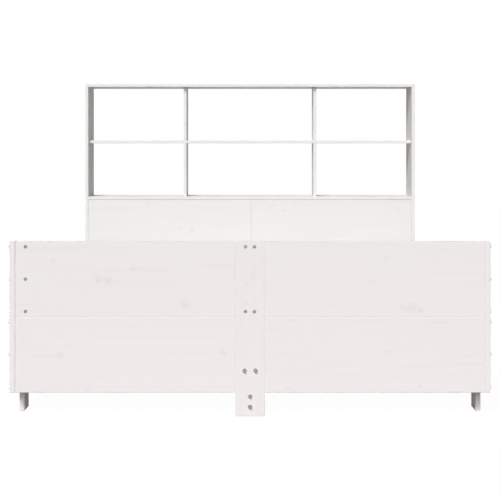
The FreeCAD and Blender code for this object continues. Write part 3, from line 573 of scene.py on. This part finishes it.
def solids_of(node):
    """The (low, high) corners of each of a node's solids, in a steady order."""
    shape = bmesh.new()
    shape.from_mesh(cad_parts[node].data)
    bmesh.ops.remove_doubles(shape, verts=shape.verts, dist=MERGE_WITHIN)
    waiting = set(shape.verts)
    boxes = []
    while waiting:
        front = [waiting.pop()]
        solid = []
        while front:
            vert = front.pop()
            solid.append(vert.co.copy())
            for edge in vert.link_edges:
                other = edge.other_vert(vert)
                if other in waiting:
                    waiting.remove(other)
                    front.append(other)
        low = Vector([min(spot[axis] for spot in solid) for axis in range(3)])
        high = Vector([max(spot[axis] for spot in solid) for axis in range(3)])
        boxes.append((low, high))
    shape.free()
    return sorted(boxes, key=lambda box: tuple(round(value, 4) for value in box[0]))


def turned(profile, segments=ROUND_SIDES):
    """A solid of revolution about Z from (radius, height) points, poles closed."""
    shape = bmesh.new()
    verts = [shape.verts.new((radius, 0, height)) for radius, height in profile]
    edges = [shape.edges.new(pair) for pair in zip(verts, verts[1:])]
    bmesh.ops.spin(shape, geom=verts + edges, cent=(0, 0, 0), axis=(0, 0, 1),
                   angle=math.tau, steps=segments, use_merge=True)
    bmesh.ops.remove_doubles(shape, verts=shape.verts, dist=MERGE_WITHIN)
    bmesh.ops.recalc_face_normals(shape, faces=shape.faces)
    for face in shape.faces:
        face.smooth = True
    for edge in shape.edges:
        if len(edge.link_faces) == 2 and edge.calc_face_angle(0) > SHARP:
            edge.smooth = False
    return shape


def verts_in(made):
    """The vertices among what an extrusion made."""
    return [item for item in made["geom"] if isinstance(item, bmesh.types.BMVert)]


def circle(shape, radius, height, sides=ROUND_SIDES):
    """The edges of a new level circle at a height."""
    ring = bmesh.ops.create_circle(shape, radius=radius, segments=sides,
                                   matrix=Matrix.Translation((0, 0, height)))
    return list({edge for vert in ring["verts"] for edge in vert.link_edges})


def draw_loop(shape, loop, rise, share=1.0):
    """Extrude a loop of edges along Z, drawn in to a share of its width."""
    made = bmesh.ops.extrude_edge_only(shape, edges=loop)
    verts = verts_in(made)
    bmesh.ops.translate(shape, verts=verts, vec=(0, 0, rise))
    bmesh.ops.scale(shape, verts=verts, vec=(share, share, 1))
    return [item for item in made["geom"] if isinstance(item, bmesh.types.BMEdge)]


def ease_edges(shape, edges, offset):
    """Round some edges off with two narrow faces."""
    bmesh.ops.bevel(shape, geom=edges, offset=offset, segments=2, profile=0.5,
                    affect="EDGES", material=-1)


def corner_radius(width):
    """From a hexagon's middle to its corners, by its width across flats."""
    return width / 2 / math.cos(math.pi / 6)


def hexagon(width, low, high, chamfer):
    """A hexagon bar from low to high with its corners turned down at the top."""
    shape = bmesh.new()
    ring = bmesh.ops.create_circle(shape, cap_ends=True, radius=corner_radius(width),
                                   segments=6, matrix=Matrix.Translation((0, 0, low)))
    bottom = ring["verts"][0].link_faces[0]
    top = verts_in(bmesh.ops.extrude_face_region(shape, geom=[bottom]))
    bmesh.ops.translate(shape, verts=top, vec=(0, 0, high - low))
    bmesh.ops.recalc_face_normals(shape, faces=shape.faces)
    cap = max(shape.faces, key=lambda face: face.calc_center_median().z)
    ease_edges(shape, list(cap.edges), chamfer)
    uprights = [edge for edge in shape.edges
                if abs(edge.verts[0].co.z - edge.verts[1].co.z) > (high - low) / 2]
    ease_edges(shape, uprights, chamfer * 0.5)
    return shape


def mesh_of(name, shape):
    """A mesh of the shape, which is freed."""
    mesh = bpy.data.meshes.new(name)
    shape.to_mesh(mesh)
    shape.free()
    return mesh


def add_object(name, data):
    """A new object that stands in the scene."""
    made = bpy.data.objects.new(name, data)
    bpy.context.scene.collection.objects.link(made)
    return made


def join_shapes(whole, *others):
    """Add other shapes to a whole; they are freed."""
    for shape in others:
        mesh = mesh_of("joining", shape)
        whole.from_mesh(mesh)
        bpy.data.meshes.remove(mesh)
    return whole


def copies_of(shape, places):
    """A mesh of the shape at every place; the shape is freed."""
    mould = mesh_of("mould", shape)
    whole = bmesh.new()
    for place in places:
        start = len(whole.verts)
        whole.from_mesh(mould)
        whole.verts.ensure_lookup_table()
        bmesh.ops.transform(whole, matrix=place, verts=whole.verts[start:])
    bpy.data.meshes.remove(mould)
    return whole


def finish_piece(name, shape, *nodes, bright=False):
    """Make the steel object and stand it for its nodes; the shape is freed."""
    piece = add_object(name, mesh_of(name, shape))
    piece.data.materials.append(zinc_steel(bright))
    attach(piece, "root")
    if nodes:
        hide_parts(*nodes)


TO_X = Matrix.Rotation(math.pi / 2, 4, "Y")
TO_MINUS_X = Matrix.Rotation(-math.pi / 2, 4, "Y")
TO_Y = Matrix.Rotation(-math.pi / 2, 4, "X")
TO_MINUS_Y = Matrix.Rotation(math.pi / 2, 4, "X")
UPRIGHT = Matrix.Identity(4)


def at(x, y, z, turn, spin=0.0):
    """A place whose Z axis points as the turn says, spun about that axis first."""
    return Matrix.Translation((x, y, z)) @ turn @ Matrix.Rotation(spin, 4, "Z")


def thread(radius, low, high):
    """Profile points of a threaded rod from low to high."""
    count = max(1, round((high - low) / THREAD_PITCH))
    step = (high - low) / count
    root = radius * THREAD_ROOT
    points = []
    for turn in range(count):
        base = low + step * turn
        points += [(root, base + 0.05 * step), (radius, base + 0.45 * step),
                   (radius, base + 0.60 * step)]
    return points + [(root, high)]


def shank(steel, reach, threaded, tip=0.001, point=0.8):
    """Profile of a bolt below its head: a blunt tip at -reach, a thread, a plain neck."""
    rod = steel.shank / 2
    return ([(0, -reach), (rod * point, -reach)]
            + thread(rod, tip - reach, threaded - reach)
            + [(rod, threaded + 0.002 - reach), (rod, 0)])


def side_bolt(steel, reach):
    """Hexagon flange bolt, its seat at z = 0 and its shank down to -reach."""
    flange = steel.flange / 2
    tall = steel.flange_tall
    top = tall + steel.hexagon_tall
    body = turned(shank(steel, reach, threaded=0.030)
                  + [(flange * 0.99, 0), (flange, tall * 0.3),
                     (flange * 0.97, tall * 0.75), (flange * 0.80, tall), (0, tall)],
                  segments=40)
    head = hexagon(steel.hexagon, tall * 0.9, top - 0.0001, chamfer=0.0006)
    dish = turned([(0, top - 0.0002), (0.0035, top - 0.0002), (0.0042, top),
                   (0.0048, top - 0.0002), (0.0048, top - 0.0004), (0, top - 0.0004)])
    return join_shapes(body, head, dish)


def slotted_drum(steel):
    """Barrel nut with a driver's slot in its upper face."""
    radius = half = steel.barrel / 2
    ease = 0.0005
    shape = turned([(0, -half), (radius - ease, -half), (radius, -half + ease),
                    (radius, half - ease), (radius - ease, half), (0, half)],
                   segments=32)
    slot_half = steel.slot / 2
    level = half - MERGE_WITHIN

    def top_faces():
        return [face for face in shape.faces if face.calc_center_median().z > level]

    for side in (-slot_half, slot_half):
        geom = set(top_faces())
        for face in top_faces():
            geom.update(face.edges)
            geom.update(face.verts)
        bmesh.ops.bisect_plane(shape, geom=list(geom), plane_co=(side, 0, 0),
                               plane_no=(1, 0, 0))
    floor = [face for face in top_faces() if abs(face.calc_center_median().x) < slot_half]
    sunk = verts_in(bmesh.ops.extrude_face_region(shape, geom=floor))
    bmesh.ops.translate(shape, verts=sunk, vec=(0, 0, -steel.slot_deep))
    bmesh.ops.delete(shape, geom=floor, context="FACES_ONLY")
    for face in shape.faces:
        face.smooth = abs(face.normal.z) < 0.6
    return shape


def recessed_cap(radius, height, width, depth, star=1.0):
    """A disc with a driver recess: a hexagon, or a star of six points."""
    shape = bmesh.new()
    rim = circle(shape, radius, height)
    inner = circle(shape, corner_radius(width), height, 6)
    bmesh.ops.subdivide_edges(shape, edges=inner, cuts=HEXAGON_CUTS)
    hole = [edge for edge in shape.edges if edge not in rim]
    bmesh.ops.bridge_loops(shape, edges=rim + hole)
    for vert in {vert for edge in hole for vert in edge.verts}:
        angle = math.atan2(vert.co.y, vert.co.x)
        pull = star + (1 - star) * (0.5 + 0.5 * math.cos(6 * angle))
        vert.co.x *= pull
        vert.co.y *= pull
    bmesh.ops.edgeloop_fill(shape, edges=draw_loop(shape, hole, -depth))
    return shape


def with_recess(profile, width, depth, star=1.0):
    """A solid of revolution whose flat top has a driver recess."""
    flat, top = profile[-1]
    shape = join_shapes(turned(profile), recessed_cap(flat, top, width, depth, star))
    bmesh.ops.remove_doubles(shape, verts=shape.verts, dist=MERGE_WITHIN)
    bmesh.ops.recalc_face_normals(shape, faces=shape.faces)
    return shape


def plate_bolt(steel, reach):
    """Socket bolt: its head stands on z = 0 and its shank runs down to -reach."""
    radius = steel.plate_head / 2
    top = steel.plate_head_tall
    head = [(radius, 0), (radius, top - 0.0008), (radius - 0.0003, top - 0.0002),
            (radius - 0.0009, top)]
    body = shank(steel, reach, threaded=0.022)
    return with_recess(body + head, steel.socket, depth=0.003)


def sleeve_nut(steel, reach):
    """Flanged sleeve with a driver's hexagon; its flange ends at z = 0."""
    flange = steel.sleeve_flange / 2
    tall = steel.flange_tall
    outer = steel.sleeve / 2
    profile = [(0.0042, -reach), (outer, -reach), (outer, -tall), (flange, -tall),
               (flange, -tall * 0.35), (flange - 0.0006, 0), (0.0062, 0)]
    return with_recess(profile, width=0.006, depth=0.004)


def leg_bolt(steel, reach):
    """Domed bolt with a driver's hexagon; its threaded end lies at -reach."""
    radius = steel.leg_head / 2
    top = steel.leg_head_tall
    dome = [(radius, 0), (radius, top * 0.25), (radius * 0.95, top * 0.5),
            (radius * 0.80, top * 0.78), (radius * 0.60, top * 0.94), (0.0042, top)]
    body = shank(steel, reach, threaded=0.030, tip=0.0007, point=0.72)
    return with_recess(body + dome, steel.socket, depth=0.0025)


def leg_nut(steel, tall):
    """Hexagon flange nut, seated on z = 0, with a countersunk bore."""
    flange = steel.flange / 2
    rim = steel.flange_tall
    bore = steel.shank / 2 * 1.02
    skirt = turned([(bore, 0), (flange * 0.98, 0), (flange, rim * 0.3),
                    (flange * 0.97, rim * 0.75), (flange * 0.78, rim),
                    (bore, rim)], segments=40)
    shape = bmesh.new()
    foot = rim * 0.9
    sink, flare = 0.0008, 1.12
    outer = circle(shape, corner_radius(steel.hexagon), foot, 6)
    bmesh.ops.subdivide_edges(shape, edges=outer, cuts=HEXAGON_CUTS)
    loop = list(shape.edges)
    scale = 1.0
    height = foot
    for share, level in ((1.0, tall - 0.0011), (0.965, tall - 0.0002), (0.90, tall)):
        loop = draw_loop(shape, loop, level - height, share / scale)
        scale = share
        height = level
    ring = circle(shape, bore * flare, tall)
    bmesh.ops.bridge_loops(shape, edges=loop + ring)
    throat = draw_loop(shape, ring, -sink, 1 / flare)
    draw_loop(shape, throat, foot + sink - tall)
    bmesh.ops.recalc_face_normals(shape, faces=shape.faces)
    return join_shapes(skirt, shape)


def screw_point(steel):
    """Profile of a wood screw's point."""
    return [(0, -steel.screw_long), (SCREW_THIN, SCREW_TAPER - steel.screw_long)]


def flush_screw(steel):
    """Countersunk screw with a star recess, its head 0.2 mm proud of z = 0."""
    radius = steel.screw / 2
    proud = 0.0002
    head = [(0.0016, -0.0035), (radius, -0.0004), (radius, proud * 0.5),
            (radius - 0.0003, proud)]
    return with_recess(screw_point(steel) + head, width=0.0040, depth=0.0015, star=STAR)


def pan_screw(steel):
    """Domed screw with a star recess, seated on z = 0."""
    radius = steel.pan / 2
    top = 0.0026
    dome = [(0.0018, 0), (radius, 0), (radius, top * 0.35), (radius * 0.92, top * 0.7),
            (radius * 0.74, top * 0.95), (radius * 0.62, top)]
    return with_recess(screw_point(steel) + dome, width=0.0036, depth=0.0015, star=STAR)


# ---------------------------------------------------------------- where screws go
# Radians that a screw is turned for each metre of its height, so no two look alike.
SCATTER = 40


def side_of(low, high):
    """-1 for a piece left of the bed's middle, 1 for one right of it."""
    return -1 if low.x + high.x < 0 else 1


def seats_along_y(node, turn, seat, spin, start=0.0):
    """A place for each solid of a node, at the Y that seat gives of its two ends."""
    return [at((low.x + high.x) / 2, seat(low.y, high.y), (low.z + high.z) / 2, turn,
               start + number * spin)
            for number, (low, high) in enumerate(solids_of(node))]


def solid_size(node):
    """The size of one of a node's solids, which are all alike."""
    low, high = solids_of(node)[0]
    return high - low


def inset(low, high, margin):
    """Two spots, each a margin inside an end."""
    return low + margin, high - margin


def inner_face(node):
    """A side piece's box, its face towards the middle and the turn that faces it."""
    low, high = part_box(node)
    if side_of(low, high) > 0:
        return low, high, low.x, TO_MINUS_X
    return low, high, high.x, TO_X


def slat_screws():
    """Two screws into the ledger and two into the beam, through each slat."""
    places = []
    half_pair = 0.022
    ledger_low, ledger_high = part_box("side_ledger_right")
    ledger_x = (ledger_low.x + ledger_high.x) / 2
    beam_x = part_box("centre_beam")[1].x / 2
    for number, node in enumerate(nodes_named("slat_")):
        low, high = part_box(node)
        side = side_of(low, high)
        middle = (low.y + high.y) / 2
        for end in (beam_x, ledger_x):
            for step in (-half_pair, half_pair):
                places.append(at(side * end, middle + step, high.z, UPRIGHT, number))
    return places


def ledger_screws():
    """A zigzag row through each ledger into its side rail."""
    places = []
    count = 9
    margin = 0.06
    zigzag = 0.015
    for node in nodes_named("side_ledger_"):
        low, high, face, turn = inner_face(node)
        for number in range(count):
            y = low.y + margin + (high.y - low.y - 2 * margin) * number / (count - 1)
            z = (low.z + high.z) / 2 + (zigzag if number % 2 else -zigzag)
            places.append(at(face, y, z, turn, number))
    return places


def corner_leg_screws():
    """Six screws through each corner leg into its side rail."""
    places = []
    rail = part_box("side_rail_left")[0].z
    for node in nodes_named("corner_leg_"):
        low, high, face, turn = inner_face(node)
        for z in (rail + 0.03, (rail + high.z) / 2, high.z - 0.03):
            for y in inset(low.y, high.y, 0.022):
                places.append(at(face, y, z, turn, z * SCATTER))
    return places


def foot_screws():
    """Through both wings of the foot's batten into the four planks."""
    low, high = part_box("foot_batten")
    rows = []
    for node in ("foot_plank_lower_left", "foot_plank_upper_left"):
        bottom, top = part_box(node)
        rows += [bottom.z + share * (top.z - bottom.z) for share in (0.14, 0.5, 0.86)]
    return [at(x, high.y, z, TO_Y, z * SCATTER) for z in rows
            for x in inset(low.x, high.x, 0.028)]


def head_screws():
    """Through the batten and the centre leg into the head planks."""
    places = []
    low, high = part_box("head_seam_batten")
    seam = (low.z + high.z) / 2
    for z in (low.z + 0.05, seam - 0.06, seam + 0.06, high.z - 0.05):
        for x in inset(low.x, high.x, 0.02):
            places.append(at(x, high.y, z, TO_Y, z * SCATTER))
    low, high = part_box("head_centre_leg")
    for z in (high.z - 0.06, high.z - 0.025):
        for x in inset(low.x, high.x, 0.02):
            places.append(at(x, low.y, z, TO_MINUS_Y, z * SCATTER))
    return places


def angle_screws():
    """Four screws through the holes of each steel angle."""
    places = []
    wall = 0.003
    other_scatter = 30
    for low, high in solids_of("corner_angles"):
        side = side_of(low, high)
        end = -1 if low.y < 0 else 1
        corner_x = high.x if side > 0 else low.x
        corner_y = high.y if end > 0 else low.y
        middle = (high.x - low.x + wall) / 2
        for share in (0.25, 0.75):
            z = low.z + share * (high.z - low.z)
            places.append(at(corner_x - side * wall, corner_y - end * middle, z,
                             TO_MINUS_X if side > 0 else TO_X, z * SCATTER))
            places.append(at(corner_x - side * middle, corner_y - end * wall, z,
                             TO_MINUS_Y if end > 0 else TO_Y, z * other_scatter))
    return places


# ---------------------------------------------------------------- operators
class FootPlanks(bpy.types.Operator):
    """Paint the four planks across the foot"""
    bl_idname = "bed.foot_planks"
    bl_label = "Foot planks"

    def execute(self, context):
        paint_boards("foot_plank_")
        return {"FINISHED"}


class CentrePlate(bpy.types.Operator):
    """Paint the upright plate in the middle of the foot and the batten behind it"""
    bl_idname = "bed.centre_plate"
    bl_label = "Centre plate"

    def execute(self, context):
        paint_boards("foot_centre_plate", "foot_batten")
        return {"FINISHED"}


class FootPosts(bpy.types.Operator):
    """Paint the upright posts that close both ends of the foot"""
    bl_idname = "bed.foot_posts"
    bl_label = "End posts"

    def execute(self, context):
        paint_boards("foot_post_")
        return {"FINISHED"}


class SideRails(bpy.types.Operator):
    """Paint the rails along both sides"""
    bl_idname = "bed.side_rails"
    bl_label = "Side rails"

    def execute(self, context):
        paint_boards("side_rail_")
        return {"FINISHED"}


class Legs(bpy.types.Operator):
    """Paint the legs that stand under the sides, the beam and both ends"""
    bl_idname = "bed.legs"
    bl_label = "Legs"

    def execute(self, context):
        paint_boards("corner_leg_", "foot_centre_leg", "beam_leg", "head_centre_leg")
        return {"FINISHED"}


class Bearers(bpy.types.Operator):
    """Paint the ledgers and the centre beam"""
    bl_idname = "bed.bearers"
    bl_label = "Ledgers and beam"

    def execute(self, context):
        paint_boards("side_ledger_", "centre_beam")
        return {"FINISHED"}


class Slats(bpy.types.Operator):
    """Paint both rows of slats"""
    bl_idname = "bed.slats"
    bl_label = "Slats"

    def execute(self, context):
        paint_boards("slat_")
        return {"FINISHED"}


class Bookcase(bpy.types.Operator):
    """Paint the headboard's panels, shelves and dividers"""
    bl_idname = "bed.bookcase"
    bl_label = "Bookcase"

    def execute(self, context):
        paint_boards("head_panel_", "head_top_board", "head_shelf", "head_bottom_board",
                     "head_divider_")
        return {"FINISHED"}


class HeadPlanks(bpy.types.Operator):
    """Paint the planks under the bookcase and the batten behind their seam"""
    bl_idname = "bed.head_planks"
    bl_label = "Head planks"

    def execute(self, context):
        paint_boards("head_plank_", "head_seam_batten")
        return {"FINISHED"}


class Dowels(bpy.types.Operator):
    """Give the dowels their beech"""
    bl_idname = "bed.dowels"
    bl_label = "Dowels"

    def execute(self, context):
        cover("wood_dowels", beech())
        return {"FINISHED"}


class SideBolts(bpy.types.Operator):
    """Model the flange bolts through the end posts"""
    bl_idname = "bed.side_bolts"
    bl_label = "Side bolts"

    def execute(self, context):
        steel = context.scene.bed_steel
        places = []
        for number, (low, high) in enumerate(solids_of("side_bolts")):
            middle = (low + high) / 2
            if side_of(low, high) > 0:
                seat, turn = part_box("foot_post_right")[1].x, TO_X
            else:
                seat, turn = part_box("foot_post_left")[0].x, TO_MINUS_X
            places.append(at(seat, middle.y, middle.z, turn, number * 0.7))
        reach = solid_size("side_bolts").x - steel.flange_tall - steel.hexagon_tall
        shape = copies_of(side_bolt(steel, reach), places)
        finish_piece("flange_bolts", shape, "side_bolts", bright=True)
        return {"FINISHED"}


class BarrelNuts(bpy.types.Operator):
    """Model the slotted barrel nuts in the foot planks"""
    bl_idname = "bed.barrel_nuts"
    bl_label = "Barrel nuts"

    def execute(self, context):
        steel = context.scene.bed_steel
        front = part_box("foot_plank_upper_left")[0]
        places = []
        for number, (low, high) in enumerate(solids_of("barrel_nuts")):
            middle = (low + high) / 2
            shows = middle.x < 0 and middle.z > front.z
            turn = TO_MINUS_Y if shows else TO_Y
            places.append(at(*middle, turn, math.pi / 2 + 0.05 * number))
        shape = copies_of(slotted_drum(steel), places)
        finish_piece("slotted_barrel_nuts", shape, "barrel_nuts")
        return {"FINISHED"}


class PlateBolts(bpy.types.Operator):
    """Model the socket bolts in the centre plate and their sleeve nuts"""
    bl_idname = "bed.plate_bolts"
    bl_label = "Plate bolts"

    def execute(self, context):
        steel = context.scene.bed_steel
        head = steel.plate_head_tall
        places = seats_along_y("plate_bolts", TO_MINUS_Y,
                               lambda front, back: front + head, spin=0.9)
        bolt = plate_bolt(steel, solid_size("plate_bolts").y - head)
        finish_piece("socket_bolts", copies_of(bolt, places), "plate_bolts")
        places = seats_along_y("sleeve_nuts", TO_Y, lambda front, back: back, spin=0.9)
        sleeve = sleeve_nut(steel, solid_size("sleeve_nuts").y)
        finish_piece("socket_sleeves", copies_of(sleeve, places), "sleeve_nuts")
        return {"FINISHED"}


class LegBolts(bpy.types.Operator):
    """Model the domed bolts through the centre leg and their flange nuts"""
    bl_idname = "bed.leg_bolts"
    bl_label = "Leg bolts"

    def execute(self, context):
        steel = context.scene.bed_steel
        head = steel.leg_head_tall
        places = seats_along_y("leg_bolts", TO_Y, lambda front, back: back - head,
                               spin=0.9)
        bolt = leg_bolt(steel, solid_size("leg_bolts").y - head)
        finish_piece("domed_bolts", copies_of(bolt, places), "leg_bolts")
        places = seats_along_y("leg_nuts", TO_MINUS_Y, lambda front, back: back,
                               spin=0.8, start=0.3)
        nut = leg_nut(steel, solid_size("leg_nuts").y)
        finish_piece("flange_nuts", copies_of(nut, places), "leg_nuts")
        return {"FINISHED"}


class SteelAngles(bpy.types.Operator):
    """Plate the steel angles and drive their screws"""
    bl_idname = "bed.steel_angles"
    bl_label = "Steel angles"

    def execute(self, context):
        cover("corner_angles", zinc_steel())
        shape = copies_of(pan_screw(context.scene.bed_steel), angle_screws())
        finish_piece("angle_screws", shape)
        return {"FINISHED"}


class WoodScrews(bpy.types.Operator):
    """Drive countersunk screws into slats, ledgers, legs and batten"""
    bl_idname = "bed.wood_screws"
    bl_label = "Wood screws"

    def execute(self, context):
        steel = context.scene.bed_steel
        for name, places in (("slat_screws", slat_screws()),
                             ("ledger_screws", ledger_screws()),
                             ("leg_screws", corner_leg_screws()),
                             ("foot_screws", foot_screws()),
                             ("head_screws", head_screws())):
            finish_piece(name, copies_of(flush_screw(steel), places))
        return {"FINISHED"}


# ---------------------------------------------------------------- stage
def white_to_camera(tree):
    """One for rays that see the background: straight, by gloss or through glass."""
    path = put(tree, "LightPath").outputs
    seen = calc(tree, "MAXIMUM", path["Is Camera Ray"], path["Is Glossy Ray"])
    return calc(tree, "MAXIMUM", seen, path["Is Transmission Ray"])


def pale_floor(stage):
    """Matt floor that shows as plain white but keeps the bed's shadow."""
    material = bpy.data.materials.new("pale_floor")
    tree = bare_tree(material)
    matt = put(tree, "BsdfDiffuse", {"Color": (*stage.floor, 1)})
    white = put(tree, "Emission", {"Strength": stage.glow})
    share = calc(tree, "MULTIPLY", white_to_camera(tree), stage.glow_share)
    mixed = put(tree, "MixShader", {0: share, 1: matt.outputs[0], 2: white.outputs[0]})
    put(tree, "OutputMaterial", {"Surface": mixed.outputs[0]})
    return material


def lay_floor(stage):
    """One wide face at z = 0, under the bed and no part of it."""
    floor = bmesh.new()
    bmesh.ops.create_grid(floor, x_segments=1, y_segments=1, size=stage.half_floor)
    piece = add_object("studio_floor", mesh_of("studio_floor", floor))
    piece.data.materials.append(pale_floor(stage))


def light_room(stage):
    """An even room whose background shows white."""
    world = bpy.data.worlds.new("studio")
    bpy.context.scene.world = world
    tree = bare_tree(world)
    room, white = [put(tree, "Background", {"Strength": level, "Color": (1, 1, 1, 1)})
                   for level in (stage.ambient, 1.0)]
    mixed = put(tree, "MixShader", {0: white_to_camera(tree), 1: room.outputs[0],
                                    2: white.outputs[0]})
    put(tree, "OutputWorld", {"Surface": mixed.outputs[0]})


def hang_lamp(name, towards, strength, softness, glossy):
    """A far lamp that shines along a direction."""
    light = bpy.data.lights.new(name, "SUN")
    light.energy = strength
    light.angle = math.radians(softness)
    lamp = add_object(name, light)
    lamp.rotation_euler = Vector(towards).to_track_quat("-Z", "Y").to_euler()
    lamp.location = -3 * Vector(towards).normalized()
    lamp.visible_glossy = glossy


# A lamp's name, the setting of its strength, where it shines, its softness in
# degrees, and whether gloss shows it.
LAMPS = (
    ("key_lamp", "key", (0.5, 1.0, -1.08), 13, True),
    ("fill_lamp", "fill", (0.0, 1.0, -0.5), 40, False),
    ("back_lamp", "back", (0.0, -1.0, -0.12), 60, False),
)


class Stage(bpy.types.Operator):
    """Set the camera, the lamps and the pale floor"""
    bl_idname = "bed.stage"
    bl_label = "Stage"

    def execute(self, context):
        stage = context.scene.bed_stage
        lens = bpy.data.cameras.new("camera")
        lens.lens = stage.lens
        lens.sensor_width = 36
        lens.shift_y = stage.shift
        lens.clip_end = 100
        camera = add_object("camera", lens)
        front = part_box("foot_plank_upper_left")[0].y
        camera.location = (0, front - stage.away, stage.eye)
        camera.rotation_euler = (math.pi / 2, 0, 0)
        context.scene.camera = camera
        context.scene.view_settings.view_transform = "Standard"
        light_room(stage)
        for name, setting, towards, softness, glossy in LAMPS:
            hang_lamp(name, towards, getattr(stage, setting), softness, glossy)
        lay_floor(stage)
        return {"FINISHED"}


class BedPanel(bpy.types.Panel):
    """Lists what builds the bed's looks"""
    bl_idname = "BED_PT_looks"
    bl_label = "Bookcase bed"
    bl_space_type = "VIEW_3D"
    bl_region_type = "UI"
    bl_category = "Bed"

    def draw(self, context):
        layout = self.layout
        for operator in OPERATORS:
            layout.operator(operator.bl_idname)
        for key, group in GROUPS.items():
            box = layout.box()
            for name in group.__annotations__:
                box.prop(getattr(context.scene, key), name)


OPERATORS = (Stage, FootPlanks, CentrePlate, FootPosts, SideRails, Legs, Bearers, Slats,
             Bookcase, HeadPlanks, Dowels, SideBolts, BarrelNuts, PlateBolts, LegBolts,
             SteelAngles, WoodScrews)


def register():
    for key, group in GROUPS.items():
        bpy.utils.register_class(group)
        setattr(bpy.types.Scene, key, PointerProperty(type=group))
    for operator in OPERATORS:
        bpy.utils.register_class(operator)
    bpy.utils.register_class(BedPanel)


def unregister():
    bpy.utils.unregister_class(BedPanel)
    for operator in reversed(OPERATORS):
        bpy.utils.unregister_class(operator)
    for key, group in GROUPS.items():
        delattr(bpy.types.Scene, key)
        bpy.utils.unregister_class(group)


def main():
    register()
    bpy.ops.bed.stage()
    bpy.ops.bed.foot_planks()
    bpy.ops.bed.centre_plate()
    bpy.ops.bed.foot_posts()
    bpy.ops.bed.side_rails()
    bpy.ops.bed.legs()
    bpy.ops.bed.bearers()
    bpy.ops.bed.slats()
    bpy.ops.bed.bookcase()
    bpy.ops.bed.head_planks()
    bpy.ops.bed.dowels()
    bpy.ops.bed.side_bolts()
    bpy.ops.bed.barrel_nuts()
    bpy.ops.bed.plate_bolts()
    bpy.ops.bed.leg_bolts()
    bpy.ops.bed.steel_angles()
    bpy.ops.bed.wood_screws()


if __name__ == "__main__":
    main()
